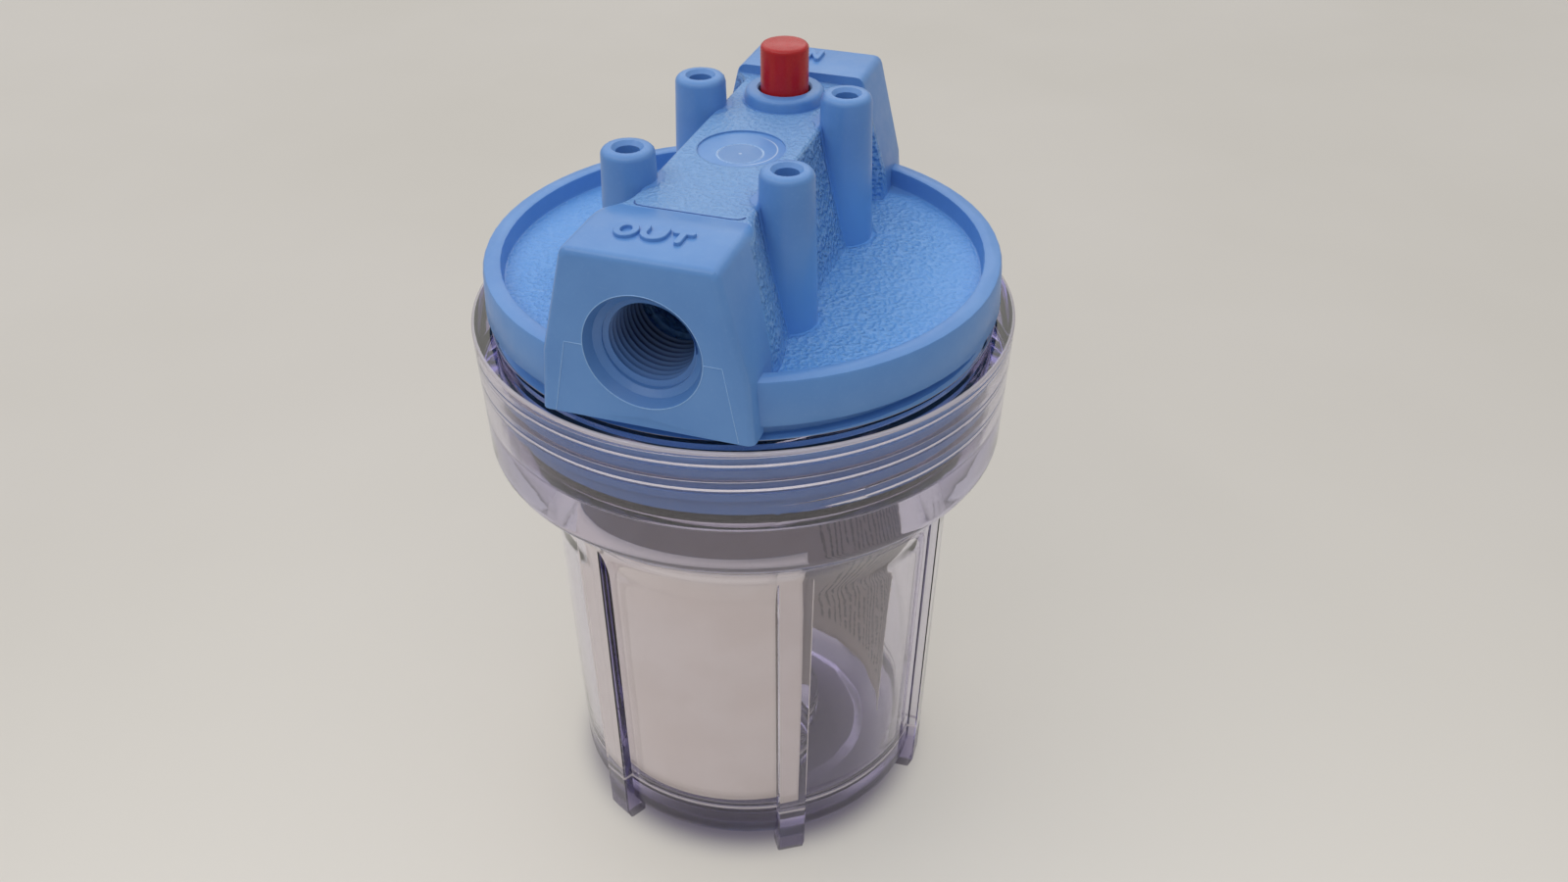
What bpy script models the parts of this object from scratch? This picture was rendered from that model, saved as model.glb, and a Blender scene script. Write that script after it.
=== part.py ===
"""Clear 5 inch water filter housing with a screwed cap, side ports and a pressure relief button.

Metres, +Z up. The origin is on the surface that the feet stand on, on the axis of the bowl. The
ports face along Y: the outlet towards -Y and the inlet towards +Y.
"""

import math

import bmesh
import bpy
from mathutils import Matrix, Vector

# Fits
SEAT_GAP = 0.0003
THREAD_CLEARANCE = 0.0005
BUTTON_CLEARANCE = 0.0005

# Coarse thread between cap and bowl, and the skirt that carries it
SKIRT_RADIUS = 0.0574
SKIRT_WALL = 0.0048
THREAD_PITCH = 0.00635
THREAD_DEPTH = 0.0018
THREAD_BASE_WIDTH = 0.0034
THREAD_CREST_WIDTH = 0.0017
THREAD_FADE = math.radians(30)

# Bowl: heights are above the surface that the feet stand on
BOWL_HEIGHT = 0.1426
FOOT_HEIGHT = 0.0040
COLLAR_WALL = 0.0053
COLLAR_HEIGHT = 0.0328
COLLAR_DRAFT = 0.0015
COLLAR_FOOT_EDGE = 0.0050
COLLAR_BORE_DEPTH = 0.0225
BODY_TOP_RADIUS = 0.0497
BODY_BASE_RADIUS = 0.0464
BODY_HEIGHT = 0.0963
BODY_WALL = 0.0035
FLARE_RADIUS = 0.032
BASE_THICKNESS = 0.0075
BASE_RECESS = 0.0025
BASE_RING_WIDTH = 0.009
BASE_CORNER = 0.005
RIB_COUNT = 6
RIB_PROUD = 0.0024
RIB_TOP_WIDTH = 0.0088
RIB_FOOT_WIDTH = 0.0070
RIB_CLOCKING = math.radians(2.3)
FOOT_TREAD = 0.0045
SEAT_RING_RADIUS = 0.0195
SEAT_RING_WALL = 0.0022
SEAT_RING_HEIGHT = 0.008

# Seal between cap and bowl
SEAL_SECTION = 0.0032
SEAL_GROOVE_DEPTH = 0.0016
SEAL_LIP_WALL = 0.0031

# Cap: heights are above the underside of its rim, which stands off from the collar
CAP_STANDOFF = 0.0037
RIM_OVERHANG = 0.0033
RIM_WALL = 0.0042
RIM_HEIGHT = 0.0109
DISH_DEPTH = 0.0047
PLATE_THICKNESS = 0.0045
RIDGE_HEIGHT = 0.0354
RIDGE_HALF_WIDTH = 0.0135
RIDGE_FLARE = 0.254
BLOCK_HEIGHT = 0.0377
BLOCK_HALF_WIDTH = 0.0170
BLOCK_SHOULDER_HEIGHT = 0.0127
BLOCK_FOOT_HALF_WIDTH = 0.0240
BLOCK_DROP = 0.0018
BLOCK_OVERHANG = 0.0003
BLOCK_LENGTH = 0.0185
BLOCK_BLEND = 0.0150
BLOCK_RAMP = 0.0130
BLOCK_EDGE = 0.0016
INLET_NARROWER = 0.0009
INLET_WAIST = 0.0024
INLET_BLEND = 0.0030
PANEL_HALF_WIDTH = 0.0122
PANEL_FRONT_SETBACK = 0.0260
PANEL_BACK_SETBACK = 0.0175
PANEL_LEAD = 0.0030
PANEL_CORNER = 0.0040
PANEL_LIP = 0.0001
GATE_RADIUS = 0.0101
GATE_DEPTH = 0.0004
RIB_PLATE_THICKNESS = 0.0022
RIB_PLATE_DEPTH = 0.0065
RIB_PLATE_COUNT = 8

# Bosses for a bracket
BOSS_SPACING_X = 0.0364
BOSS_SPACING_Y = 0.0440
BOSS_HEIGHT = 0.0425
BOSS_RADIUS = 0.0060
BOSS_DRAFT = 0.0010
BOSS_HOLE_RADIUS = 0.0027
BOSS_HOLE_DEPTH = 0.0160
BOSS_CHAMFER = 0.0009

# Ports and water ways
PORT_HEIGHT = 0.0162
PORT_MOUTH_RADIUS = 0.0133
PORT_MOUTH_DEPTH = 0.0025
PORT_LEAD_RADIUS = 0.0121
PORT_THREAD_RADIUS = 0.0106
PORT_THREAD_START = 0.0036
PORT_THREAD_DEPTH = 0.0200
PORT_TAPER = 0.0006
PASSAGE_RADIUS = 0.0085
WELL_RADIUS = 0.0090
WELL_WALL = 0.0060
WELL_DROP = 0.0095
WELL_EDGE = 0.0014

# Pressure relief valve
RELIEF_SETBACK = 0.0300
RELIEF_COLLAR_RADIUS = 0.0096
RELIEF_COLLAR_HEIGHT = 0.0030
RELIEF_WEB = 0.0036
RELIEF_SEAT_LIFT = 0.0010
BUTTON_RADIUS = 0.0058
BUTTON_WALL = 0.0011
BUTTON_STANDOUT = 0.0108
BUTTON_LENGTH = 0.0165
BUTTON_ROOF = 0.0040
BUTTON_POST_RADIUS = 0.0026
BUTTON_TRAVEL = 0.0030
SPRING_WIRE = 0.0008
SPRING_RADIUS = 0.0037
SPRING_TURNS = 6.5
SCREW_RADIUS = 0.0013
SCREW_HEAD_RADIUS = 0.0034
SCREW_HEAD_HEIGHT = 0.0022
SCREW_HOLD = 0.0085
RELIEF_SEAL_SECTION = 0.0022

# Rolled leaflet
LEAFLET_PLAY = 0.0048
LEAFLET_CLEARANCE = 0.0008
LEAFLET_HEIGHT = 0.0880
LEAFLET_THICKNESS = 0.0004
LEAFLET_LEAN = math.radians(-95)
LEAFLET_START = math.radians(-47)
LEAFLET_SWEEP = math.radians(-303)

# Facets
ROUND_STEPS = 72
BOSS_STEPS = 20
SMALL_STEPS = 24
SMALL_RADIUS = 0.0009
THREAD_STEPS = 48
EMBED = 0.0007

# Worked out from the sizes above
MALE_CREST_RADIUS = SKIRT_RADIUS + THREAD_DEPTH
FEMALE_CREST_RADIUS = SKIRT_RADIUS + THREAD_CLEARANCE
COLLAR_BORE_RADIUS = MALE_CREST_RADIUS + THREAD_CLEARANCE
COLLAR_RADIUS = COLLAR_BORE_RADIUS + COLLAR_WALL
LEDGE_Z = BOWL_HEIGHT - COLLAR_BORE_DEPTH
SEAL_RADIUS = SKIRT_RADIUS - SKIRT_WALL / 2
GROOVE_INNER_RADIUS = SEAL_RADIUS - SEAL_SECTION / 2 - SEAT_GAP
GROOVE_OUTER_RADIUS = SEAL_RADIUS + SEAL_SECTION / 2 + SEAT_GAP
GROOVE_Z = LEDGE_Z - SEAL_GROOVE_DEPTH
SEAL_Z = GROOVE_Z + SEAT_GAP + SEAL_SECTION / 2
SKIRT_END_Z = SEAL_Z + SEAL_SECTION / 2 + SEAT_GAP
THROAT_RADIUS = GROOVE_INNER_RADIUS - SEAL_LIP_WALL
FLOOR_Z = FOOT_HEIGHT + BASE_THICKNESS

CAP_Z = BOWL_HEIGHT + CAP_STANDOFF
RIM_RADIUS = SKIRT_RADIUS + RIM_OVERHANG
RIM_TOP_Z = CAP_Z + RIM_HEIGHT
DISH_Z = RIM_TOP_Z - DISH_DEPTH
PLATE_Z = DISH_Z - PLATE_THICKNESS
SKIRT_INNER_RADIUS = SKIRT_RADIUS - SKIRT_WALL
RIDGE_Z = CAP_Z + RIDGE_HEIGHT
BLOCK_Z = CAP_Z + BLOCK_HEIGHT
BLOCK_FOOT_Z = CAP_Z - BLOCK_DROP
PORT_Z = CAP_Z + PORT_HEIGHT
PORT_REACH = RIM_RADIUS + BLOCK_OVERHANG
PANEL_FRONT = PORT_REACH - PANEL_FRONT_SETBACK
PANEL_BACK = PORT_REACH - PANEL_BACK_SETBACK
BOSS_Z = CAP_Z + BOSS_HEIGHT

RELIEF_OFFSET = PORT_REACH - RELIEF_SETBACK
COLLAR_TOP_Z = RIDGE_Z + RELIEF_COLLAR_HEIGHT
BUTTON_TOP_Z = COLLAR_TOP_Z + BUTTON_STANDOUT
BUTTON_END_Z = BUTTON_TOP_Z - BUTTON_LENGTH
BUTTON_ROOF_Z = BUTTON_TOP_Z - BUTTON_ROOF
RELIEF_SEAT_Z = PORT_Z + PASSAGE_RADIUS + RELIEF_SEAT_LIFT
SPRING_FLOOR_Z = RELIEF_SEAT_Z + RELIEF_WEB
RELIEF_BORE_RADIUS = BUTTON_RADIUS + BUTTON_CLEARANCE
SCREW_BORE_RADIUS = SCREW_RADIUS + SEAT_GAP
RELIEF_SEAL_RADIUS = SCREW_BORE_RADIUS + RELIEF_SEAL_SECTION / 2
RELIEF_SEAL_Z = RELIEF_SEAT_Z - SEAT_GAP - RELIEF_SEAL_SECTION / 2
SCREW_HEAD_Z = RELIEF_SEAL_Z - RELIEF_SEAL_SECTION / 2 - SEAT_GAP


def clear_scene():
    """Remove the objects that the scene starts with, and make the two collections."""
    for old in list(bpy.data.objects):
        bpy.data.objects.remove(old, do_unlink=True)
    root = bpy.context.scene.collection
    made = []
    for name in ("water_filter_housing", "cutters"):
        group = bpy.data.collections.new(name)
        root.children.link(group)
        made.append(group)
    return made


PARTS, CUTTERS = clear_scene()


def material(name, colour, roughness, metallic=0.0, transmission=0.0):
    """A Principled material in one plain colour."""
    made = bpy.data.materials.new(name)
    made.use_nodes = True
    shader = made.node_tree.nodes["Principled BSDF"]
    shader.inputs["Base Color"].default_value = (*colour, 1.0)
    shader.inputs["Roughness"].default_value = roughness
    shader.inputs["Metallic"].default_value = metallic
    shader.inputs["Transmission Weight"].default_value = transmission
    made.diffuse_color = (*colour, 1.0)
    return made


def add_object(name, mesh, group):
    """Put a mesh in the scene under a name."""
    made = bpy.data.objects.new(name, mesh)
    group.objects.link(made)
    if group is CUTTERS:
        made.hide_render = True
        made.display_type = "WIRE"
    return made


def mesh_from(bm, name):
    """Turn a bmesh into a mesh with its faces pointing out."""
    bmesh.ops.recalc_face_normals(bm, faces=bm.faces)
    mesh = bpy.data.meshes.new(name)
    bm.to_mesh(mesh)
    bm.free()
    return mesh


def rounded(corners, steps=3, closed=False, share=0.48):
    """Points of an outline given as (a, b, radius) corners, each rounded by an arc of that radius.

    Each arc has the given number of steps, or two where its radius is small, and takes up
    at most the given share of the sides that meet there.
    """
    points = []
    count = len(corners)
    for index, (a, b, radius) in enumerate(corners):
        at_end = not closed and index in (0, count - 1)
        if radius == 0.0 or at_end:
            points.append((a, b))
            continue
        corner = Vector((a, b))
        back = Vector(corners[index - 1][:2]) - corner
        ahead = Vector(corners[(index + 1) % count][:2]) - corner
        half = back.angle(ahead) / 2
        reach = min(radius / math.tan(half), share * back.length, share * ahead.length)
        fitted = reach * math.tan(half)
        centre = corner + (back.normalized() + ahead.normalized()).normalized() * fitted / math.sin(half)
        start = corner + back.normalized() * reach - centre
        end = corner + ahead.normalized() * reach - centre
        turn = start.angle_signed(end)
        used = steps if radius > SMALL_RADIUS else 2
        for step in range(used + 1):
            spoke = start.copy()
            spoke.rotate(Matrix.Rotation(-turn * step / used, 2))
            points.append(tuple(centre + spoke))
    return points


def turned(name, profile, group, steps=ROUND_STEPS, closed=False):
    """A turned piece: a profile of (radius, z) points, outer side top to bottom, with a Screw modifier."""
    bm = bmesh.new()
    verts = [bm.verts.new((radius, 0.0, z)) for radius, z in profile]
    for first, second in zip(verts, verts[1:]):
        bm.edges.new((first, second))
    if closed:
        bm.edges.new((verts[-1], verts[0]))
    mesh = bpy.data.meshes.new(name)
    bm.to_mesh(mesh)
    bm.free()
    made = add_object(name, mesh, group)
    screw = made.modifiers.new("turn", "SCREW")
    screw.axis = "Z"
    screw.angle = math.tau
    screw.steps = steps
    screw.render_steps = steps
    screw.use_merge_vertices = True
    screw.merge_threshold = 0.00001
    return made


def loft(name, rings, group):
    """A closed solid through rings of points, each ring with as many points as the next."""
    bm = bmesh.new()
    rows = [[bm.verts.new(point) for point in ring] for ring in rings]
    count = len(rows[0])
    for row, following in zip(rows, rows[1:]):
        for index in range(count):
            after = (index + 1) % count
            bm.faces.new((row[index], row[after], following[after], following[index]))
    bm.faces.new(rows[0])
    bm.faces.new(rows[-1])
    return add_object(name, mesh_from(bm, name), group)


def cylinder(name, radius, start, end, group, end_radius=None, steps=SMALL_STEPS):
    """A cylinder or cone between two points."""
    start = Vector(start)
    end = Vector(end)
    axis = end - start
    bm = bmesh.new()
    bmesh.ops.create_cone(
        bm,
        cap_ends=True,
        segments=steps,
        radius1=radius,
        radius2=radius if end_radius is None else end_radius,
        depth=axis.length,
    )
    turn = axis.to_track_quat("Z", "Y").to_matrix().to_4x4()
    bmesh.ops.transform(bm, matrix=Matrix.Translation((start + end) / 2) @ turn, verts=bm.verts)
    return add_object(name, mesh_from(bm, name), group)


def box(name, low, high, group):
    """A box between two corners."""
    low = Vector(low)
    high = Vector(high)
    bm = bmesh.new()
    bmesh.ops.create_cube(bm, size=1.0)
    bmesh.ops.scale(bm, vec=high - low, verts=bm.verts)
    bmesh.ops.translate(bm, vec=(low + high) / 2, verts=bm.verts)
    return add_object(name, mesh_from(bm, name), group)


def boolean(target, tool, operation):
    """Cut or join a tool with a target by a live Boolean."""
    made = target.modifiers.new(tool.name, "BOOLEAN")
    made.operation = operation
    made.solver = "EXACT"
    made.object = tool


def cut(target, *tools):
    """Take tools away from a target."""
    for tool in tools:
        boolean(target, tool, "DIFFERENCE")


def join(target, *tools):
    """Add tools to a target."""
    for tool in tools:
        boolean(target, tool, "UNION")


def finish(made, finish_material, sharp_angle=35):
    """Give a piece its material and smooth shading."""
    made.data.materials.append(finish_material)
    made.data.shade_smooth()
    made.data.set_sharp_from_angle(angle=math.radians(sharp_angle))


def thread_ridge(name, wall_radius, crest_radius, low_z, high_z, lead):
    """A helical ridge on a wall, proud towards the crest radius and faded out at both ends.

    The ridge's middle passes LEDGE_Z + lead at angle zero, so two threads with leads half a pitch
    apart mesh with each other.
    """
    inward = 1.0 if crest_radius < wall_radius else -1.0
    root_radius = wall_radius + inward * EMBED
    half_base = THREAD_BASE_WIDTH / 2
    half_crest = THREAD_CREST_WIDTH / 2
    start = math.tau * (low_z + half_base - LEDGE_Z - lead) / THREAD_PITCH
    stop = math.tau * (high_z - half_base - LEDGE_Z - lead) / THREAD_PITCH
    count = math.ceil((stop - start) / math.tau * THREAD_STEPS)
    rings = []
    for index in range(count + 1):
        angle = start + (stop - start) * index / count
        middle = LEDGE_Z + lead + THREAD_PITCH * angle / math.tau
        fade = min(1.0, (angle - start) / THREAD_FADE, (stop - angle) / THREAD_FADE)
        crest = root_radius + (crest_radius - root_radius) * (0.04 + 0.96 * fade)
        flank = [
            (root_radius, -half_base),
            (crest, -half_crest),
            (crest, half_crest),
            (root_radius, half_base),
        ]
        rings.append([(r * math.cos(angle), r * math.sin(angle), middle + rise) for r, rise in flank])
    return loft(name, rings, CUTTERS)


def body_radius(z):
    """Outer radius of the bowl's tapered wall, without its flare."""
    share = (z - FOOT_HEIGHT) / (BODY_HEIGHT - FOOT_HEIGHT)
    return BODY_BASE_RADIUS + (BODY_TOP_RADIUS - BODY_BASE_RADIUS) * share


def bowl_profile():
    """Half section of the bowl, from the middle of its floor over the collar to the middle of its base."""
    flare_z = BODY_HEIGHT - FLARE_RADIUS / 3
    throat_z = BODY_HEIGHT + FLARE_RADIUS / 4
    ring_radius = BODY_BASE_RADIUS - BASE_CORNER - BASE_RING_WIDTH
    seat_z = FLOOR_Z + SEAT_RING_HEIGHT
    inner = [
        (0.0, FLOOR_Z, 0.0),
        (SEAT_RING_RADIUS - SEAT_RING_WALL, FLOOR_Z, 0.0),
        (SEAT_RING_RADIUS - SEAT_RING_WALL, seat_z, 0.0),
        (SEAT_RING_RADIUS - 0.2 * SEAT_RING_WALL, seat_z, 0.0),
        (SEAT_RING_RADIUS, FLOOR_Z, 0.0),
        (body_radius(FLOOR_Z) - BODY_WALL, FLOOR_Z, BASE_CORNER + 0.4 * BODY_WALL),
        (body_radius(flare_z) - BODY_WALL, flare_z, FLARE_RADIUS),
        (THROAT_RADIUS, throat_z, FLARE_RADIUS / 2),
        (THROAT_RADIUS, LEDGE_Z, 0.0),
        (GROOVE_INNER_RADIUS, LEDGE_Z, 0.0),
        (GROOVE_INNER_RADIUS, GROOVE_Z, 0.0),
        (GROOVE_OUTER_RADIUS, GROOVE_Z, 0.0),
        (GROOVE_OUTER_RADIUS, LEDGE_Z, 0.0),
        (COLLAR_BORE_RADIUS, LEDGE_Z, 0.0),
        (COLLAR_BORE_RADIUS, BOWL_HEIGHT - THREAD_CLEARANCE, 0.0),
        (COLLAR_BORE_RADIUS + THREAD_CLEARANCE, BOWL_HEIGHT, 0.0),
    ]
    outer = [
        (COLLAR_RADIUS, BOWL_HEIGHT, 0.10 * COLLAR_WALL),
        (COLLAR_RADIUS - COLLAR_DRAFT, BOWL_HEIGHT - COLLAR_HEIGHT, COLLAR_FOOT_EDGE),
        (BODY_TOP_RADIUS, BODY_HEIGHT, FLARE_RADIUS),
        (BODY_BASE_RADIUS, FOOT_HEIGHT, BASE_CORNER),
        (ring_radius, FOOT_HEIGHT, 0.0),
        (ring_radius - BASE_RECESS, FOOT_HEIGHT + BASE_RECESS, 0.0),
        (0.0, FOOT_HEIGHT + BASE_RECESS, 0.0),
    ]
    return rounded(inner + outer, steps=4, share=0.62)


def rib_outline():
    """Side view of one rib as (radius, z): a tapered strip that runs out in the flare and ends in a foot."""
    top = BODY_HEIGHT + 0.07 * FLARE_RADIUS
    bend = BODY_HEIGHT - 0.38 * FLARE_RADIUS
    sunk = 0.43 * BODY_WALL
    foot_radius = BODY_BASE_RADIUS + RIB_PROUD - 0.0013
    tread_radius = foot_radius - FOOT_TREAD
    return [
        (foot_radius, 0.0),
        (body_radius(FOOT_HEIGHT) + RIB_PROUD, 0.75 * FOOT_HEIGHT),
        (body_radius(top) + RIB_PROUD, top),
        (body_radius(top) + RIB_PROUD - 0.3 * BODY_WALL, top),
        (body_radius(bend) - sunk, bend),
        (body_radius(2 * FLOOR_Z) - sunk, 1.3 * FLOOR_Z),
        (tread_radius, 0.7 * FLOOR_Z),
        (tread_radius, 0.0),
    ]


def bowl_rib(index):
    """One rib of the bowl, wider at the top than at its foot."""
    turn = Matrix.Rotation(RIB_CLOCKING + math.tau * index / RIB_COUNT, 3, "Z")
    rings = []
    for side in (-1.0, 1.0):
        ring = []
        for radius, z in rib_outline():
            width = RIB_FOOT_WIDTH + (RIB_TOP_WIDTH - RIB_FOOT_WIDTH) * z / BODY_HEIGHT
            ring.append(turn @ Vector((radius, side * width / 2, z)))
        rings.append(ring)
    return loft(f"bowl_rib_{index}", rings, CUTTERS)


def seat_webs():
    """The cross of webs inside the raised ring that a cartridge stands on."""
    half = SEAT_RING_WALL / 2
    reach = SEAT_RING_RADIUS - half
    arm = (Vector((half, half, 0)), Vector((half, reach, 0)), Vector((-half, reach, 0)))
    outline = []
    for quarter in range(4):
        turn = Matrix.Rotation(quarter * math.pi / 2, 3, "Z")
        outline.extend(turn @ point for point in arm)
    low = Vector((0, 0, FLOOR_Z - EMBED))
    high = Vector((0, 0, FLOOR_Z + SEAT_RING_HEIGHT - SEAT_RING_WALL))
    return loft("seat_webs", [[point + level for point in outline] for level in (low, high)], CUTTERS)


def make_bowl(clear):
    """The clear bowl with its ribs, cartridge seat and inner thread."""
    bowl = turned("bowl", bowl_profile(), PARTS)
    join(bowl, *[bowl_rib(index) for index in range(RIB_COUNT)])
    join(bowl, seat_webs())
    thread = thread_ridge(
        "bowl_thread",
        COLLAR_BORE_RADIUS,
        FEMALE_CREST_RADIUS,
        LEDGE_Z + THREAD_BASE_WIDTH,
        BOWL_HEIGHT - THREAD_CLEARANCE,
        0.0,
    )
    join(bowl, thread)
    finish(bowl, clear)
    return bowl


def o_ring(name, radius, section, centre, finish_material, steps, section_steps):
    """A round rubber ring."""
    bpy.ops.mesh.primitive_torus_add(
        major_radius=radius,
        minor_radius=section / 2,
        major_segments=steps,
        minor_segments=section_steps,
        location=centre,
    )
    made = bpy.context.object
    made.name = name
    made.data.name = name
    for group in list(made.users_collection):
        group.objects.unlink(made)
    PARTS.objects.link(made)
    finish(made, finish_material)
    return made


def cap_profile():
    """Half section of the cap's plate, rim and skirt, from the middle of its floor to its underside."""
    inner = RIM_RADIUS - RIM_WALL
    return rounded(
        [
            (0.0, DISH_Z, 0.0),
            (inner, DISH_Z, 0.25 * DISH_DEPTH),
            (inner, RIM_TOP_Z, 0.15 * RIM_WALL),
            (RIM_RADIUS, RIM_TOP_Z, 0.25 * RIM_WALL),
            (RIM_RADIUS + 0.0004, CAP_Z, 0.10 * RIM_WALL),
            (SKIRT_RADIUS, CAP_Z, 0.0),
            (SKIRT_RADIUS, SKIRT_END_Z, 0.12 * SKIRT_WALL),
            (SKIRT_INNER_RADIUS, SKIRT_END_Z, 0.12 * SKIRT_WALL),
            (SKIRT_INNER_RADIUS, PLATE_Z, 0.4 * PLATE_THICKNESS),
            (0.0, PLATE_Z, 0.0),
        ],
        steps=2,
    )


def smooth(value):
    """Ease a share between 0 and 1."""
    value = min(1.0, max(0.0, value))
    return value * value * (3.0 - 2.0 * value)


def bridge_section(y, block, rise, foot_z, waist=0.0):
    """Cross section of the bridge at y: the ridge's width and height at 0, a port block's at 1.

    The block share sets the width and the rise share the height of the top. The block at the inlet
    is a little narrower than the one at the outlet. The waist is taken off each side of the ridge's
    foot.
    """
    narrower = INLET_NARROWER if y > 0.0 else 0.0
    shoulder_z = CAP_Z + BLOCK_SHOULDER_HEIGHT
    ridge_half = RIDGE_HALF_WIDTH + RIDGE_FLARE * (RIDGE_Z - shoulder_z) - waist
    ridge_foot = ridge_half + RIDGE_FLARE * (shoulder_z - foot_z)
    block_top = BLOCK_HALF_WIDTH - narrower
    block_half = block_top + RIDGE_FLARE * 0.92 * (BLOCK_Z - shoulder_z)
    splay = BLOCK_FOOT_HALF_WIDTH - narrower - block_half
    block_foot = block_half + splay * (shoulder_z - foot_z) / (shoulder_z - BLOCK_FOOT_Z)
    top_half = RIDGE_HALF_WIDTH + (block_top - RIDGE_HALF_WIDTH) * block
    top_z = RIDGE_Z + (BLOCK_Z - RIDGE_Z) * rise
    middle_half = ridge_half + (block_half - ridge_half) * block
    foot_half = ridge_foot + (block_foot - ridge_foot) * block
    edge = 0.0012 + 0.0010 * block
    half = rounded(
        [
            (0.0, top_z, 0.0),
            (top_half, top_z, edge),
            (middle_half, shoulder_z, 0.0),
            (foot_half, foot_z, 0.0),
        ],
        steps=3,
    )
    left = [(-x, z) for x, z in reversed(half) if x > 0.0]
    return [Vector((x, y, z)) for x, z in half + left]


def shrunk(ring, inset):
    """A ring drawn in from its top and sides, with its foot kept level."""
    low = min(point.z for point in ring)
    high = max(point.z for point in ring)
    wide = max(point.x for point in ring)
    narrow = 1.0 - inset / wide
    flat = 1.0 - inset / (high - low)
    return [Vector((p.x * narrow, p.y, low + (p.z - low) * flat)) for p in ring]


def bridge():
    """The bridge across the cap: a low ridge that swells into a port block at each end.

    At the outlet it swells gently and its top ramps up. At the inlet it first narrows to a waist
    behind the bosses. The ends of the blocks hang a little below the rim and have round edges.
    """
    plate_z = DISH_Z - 0.5 * PLATE_THICKNESS
    apron = math.sqrt(RIM_RADIUS**2 - BLOCK_FOOT_HALF_WIDTH**2) - 0.4 * RIM_WALL
    blend_start = PORT_REACH - BLOCK_LENGTH - BLOCK_BLEND
    ramp_start = PANEL_FRONT - PANEL_LEAD
    outlet = []
    for step in range(9):
        y = blend_start + (ramp_start + BLOCK_RAMP - blend_start) * step / 8
        block = smooth((y - blend_start) / BLOCK_BLEND)
        rise = smooth((y - ramp_start) / BLOCK_RAMP)
        outlet.append((y, block, rise, 0.0))
    waist_start = BOSS_SPACING_Y / 2 + BOSS_RADIUS
    inlet = [
        (BOSS_SPACING_Y / 2, 0.0, 0.0, 0.0),
        (waist_start, 0.0, 0.0, INLET_WAIST),
        (PANEL_BACK - INLET_BLEND, 0.0, 0.0, INLET_WAIST),
        (PANEL_BACK - 0.4 * INLET_BLEND, 0.4, 1.0, 0.6 * INLET_WAIST),
        (PANEL_BACK, 1.0, 1.0, 0.0),
    ]
    rows = []
    for side, stations in ((-1.0, outlet), (1.0, inlet)):
        half = [bridge_section(side * y, block, rise, plate_z, waist) for y, block, rise, waist in stations]
        half.append(bridge_section(side * apron, 1.0, 1.0, plate_z))
        half.append(bridge_section(side * (apron + SMALL_RADIUS), 1.0, 1.0, BLOCK_FOOT_Z))
        for step in range(4):
            turn = step / 3 * math.pi / 2
            y = side * (PORT_REACH - BLOCK_EDGE * (1.0 - math.sin(turn)))
            section = bridge_section(y, 1.0, 1.0, BLOCK_FOOT_Z)
            half.append(shrunk(section, BLOCK_EDGE * (1.0 - math.cos(turn))))
        rows.append(half)
    rings = list(reversed(rows[0])) + rows[1]
    return loft("bridge", rings, CUTTERS)


def panel_recess():
    """The shallow recess of the grained panel between the two port blocks, and its gate mark.

    It has round corners at the outlet. At the inlet it runs out over the sides of the bridge and
    ends in a wall across the block.
    """
    wide = 1.1 * BLOCK_FOOT_HALF_WIDTH
    right = [
        (PANEL_HALF_WIDTH, -PANEL_FRONT, PANEL_CORNER),
        (PANEL_HALF_WIDTH, -PANEL_CORNER, 0.0),
        (wide, PANEL_CORNER, 0.0),
        (wide, PANEL_BACK - 0.5 * PANEL_CORNER, 0.0),
        (BLOCK_HALF_WIDTH - 0.5 * PANEL_CORNER, PANEL_BACK, PANEL_CORNER),
    ]
    left = [(-x, y, radius) for x, y, radius in reversed(right)]
    outline = rounded(right + left, steps=4, closed=True)
    low = RIDGE_Z + PANEL_LIP
    high = BLOCK_Z + DISH_DEPTH
    recess = loft("panel_recess", [[Vector((x, y, z)) for x, y in outline] for z in (low, high)], CUTTERS)
    start = (0.0, 0.0, RIDGE_Z - GATE_DEPTH)
    gate = cylinder("gate_mark", GATE_RADIUS, start, (0.0, 0.0, BLOCK_Z), CUTTERS, steps=36)
    return recess, gate


def bosses():
    """Four bosses that a wall bracket is screwed to, and their screw holes."""
    solids = []
    holes = []
    foot_z = DISH_Z - 0.5 * PLATE_THICKNESS
    profile = rounded(
        [
            (0.0, BOSS_Z, 0.0),
            (BOSS_RADIUS, BOSS_Z, 0.25 * BOSS_RADIUS),
            (BOSS_RADIUS + BOSS_DRAFT, foot_z, 0.0),
            (0.0, foot_z, 0.0),
        ],
        steps=3,
    )
    hole = [
        (0.0, BOSS_Z + BOSS_CHAMFER),
        (BOSS_HOLE_RADIUS + 2 * BOSS_CHAMFER, BOSS_Z + BOSS_CHAMFER),
        (BOSS_HOLE_RADIUS, BOSS_Z - BOSS_CHAMFER),
        (BOSS_HOLE_RADIUS, BOSS_Z - BOSS_HOLE_DEPTH),
        (0.0, BOSS_Z - BOSS_HOLE_DEPTH - BOSS_HOLE_RADIUS / 2),
    ]
    for index, (sx, sy) in enumerate(((-1, -1), (1, -1), (1, 1), (-1, 1))):
        place = (sx * BOSS_SPACING_X / 2, sy * BOSS_SPACING_Y / 2, 0.0)
        solid = turned(f"boss_{index}", profile, CUTTERS, steps=BOSS_STEPS)
        drill = turned(f"boss_hole_{index}", hole, CUTTERS, steps=BOSS_STEPS)
        solid.location = place
        drill.location = place
        solids.append(solid)
        holes.append(drill)
    return solids, holes


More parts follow.
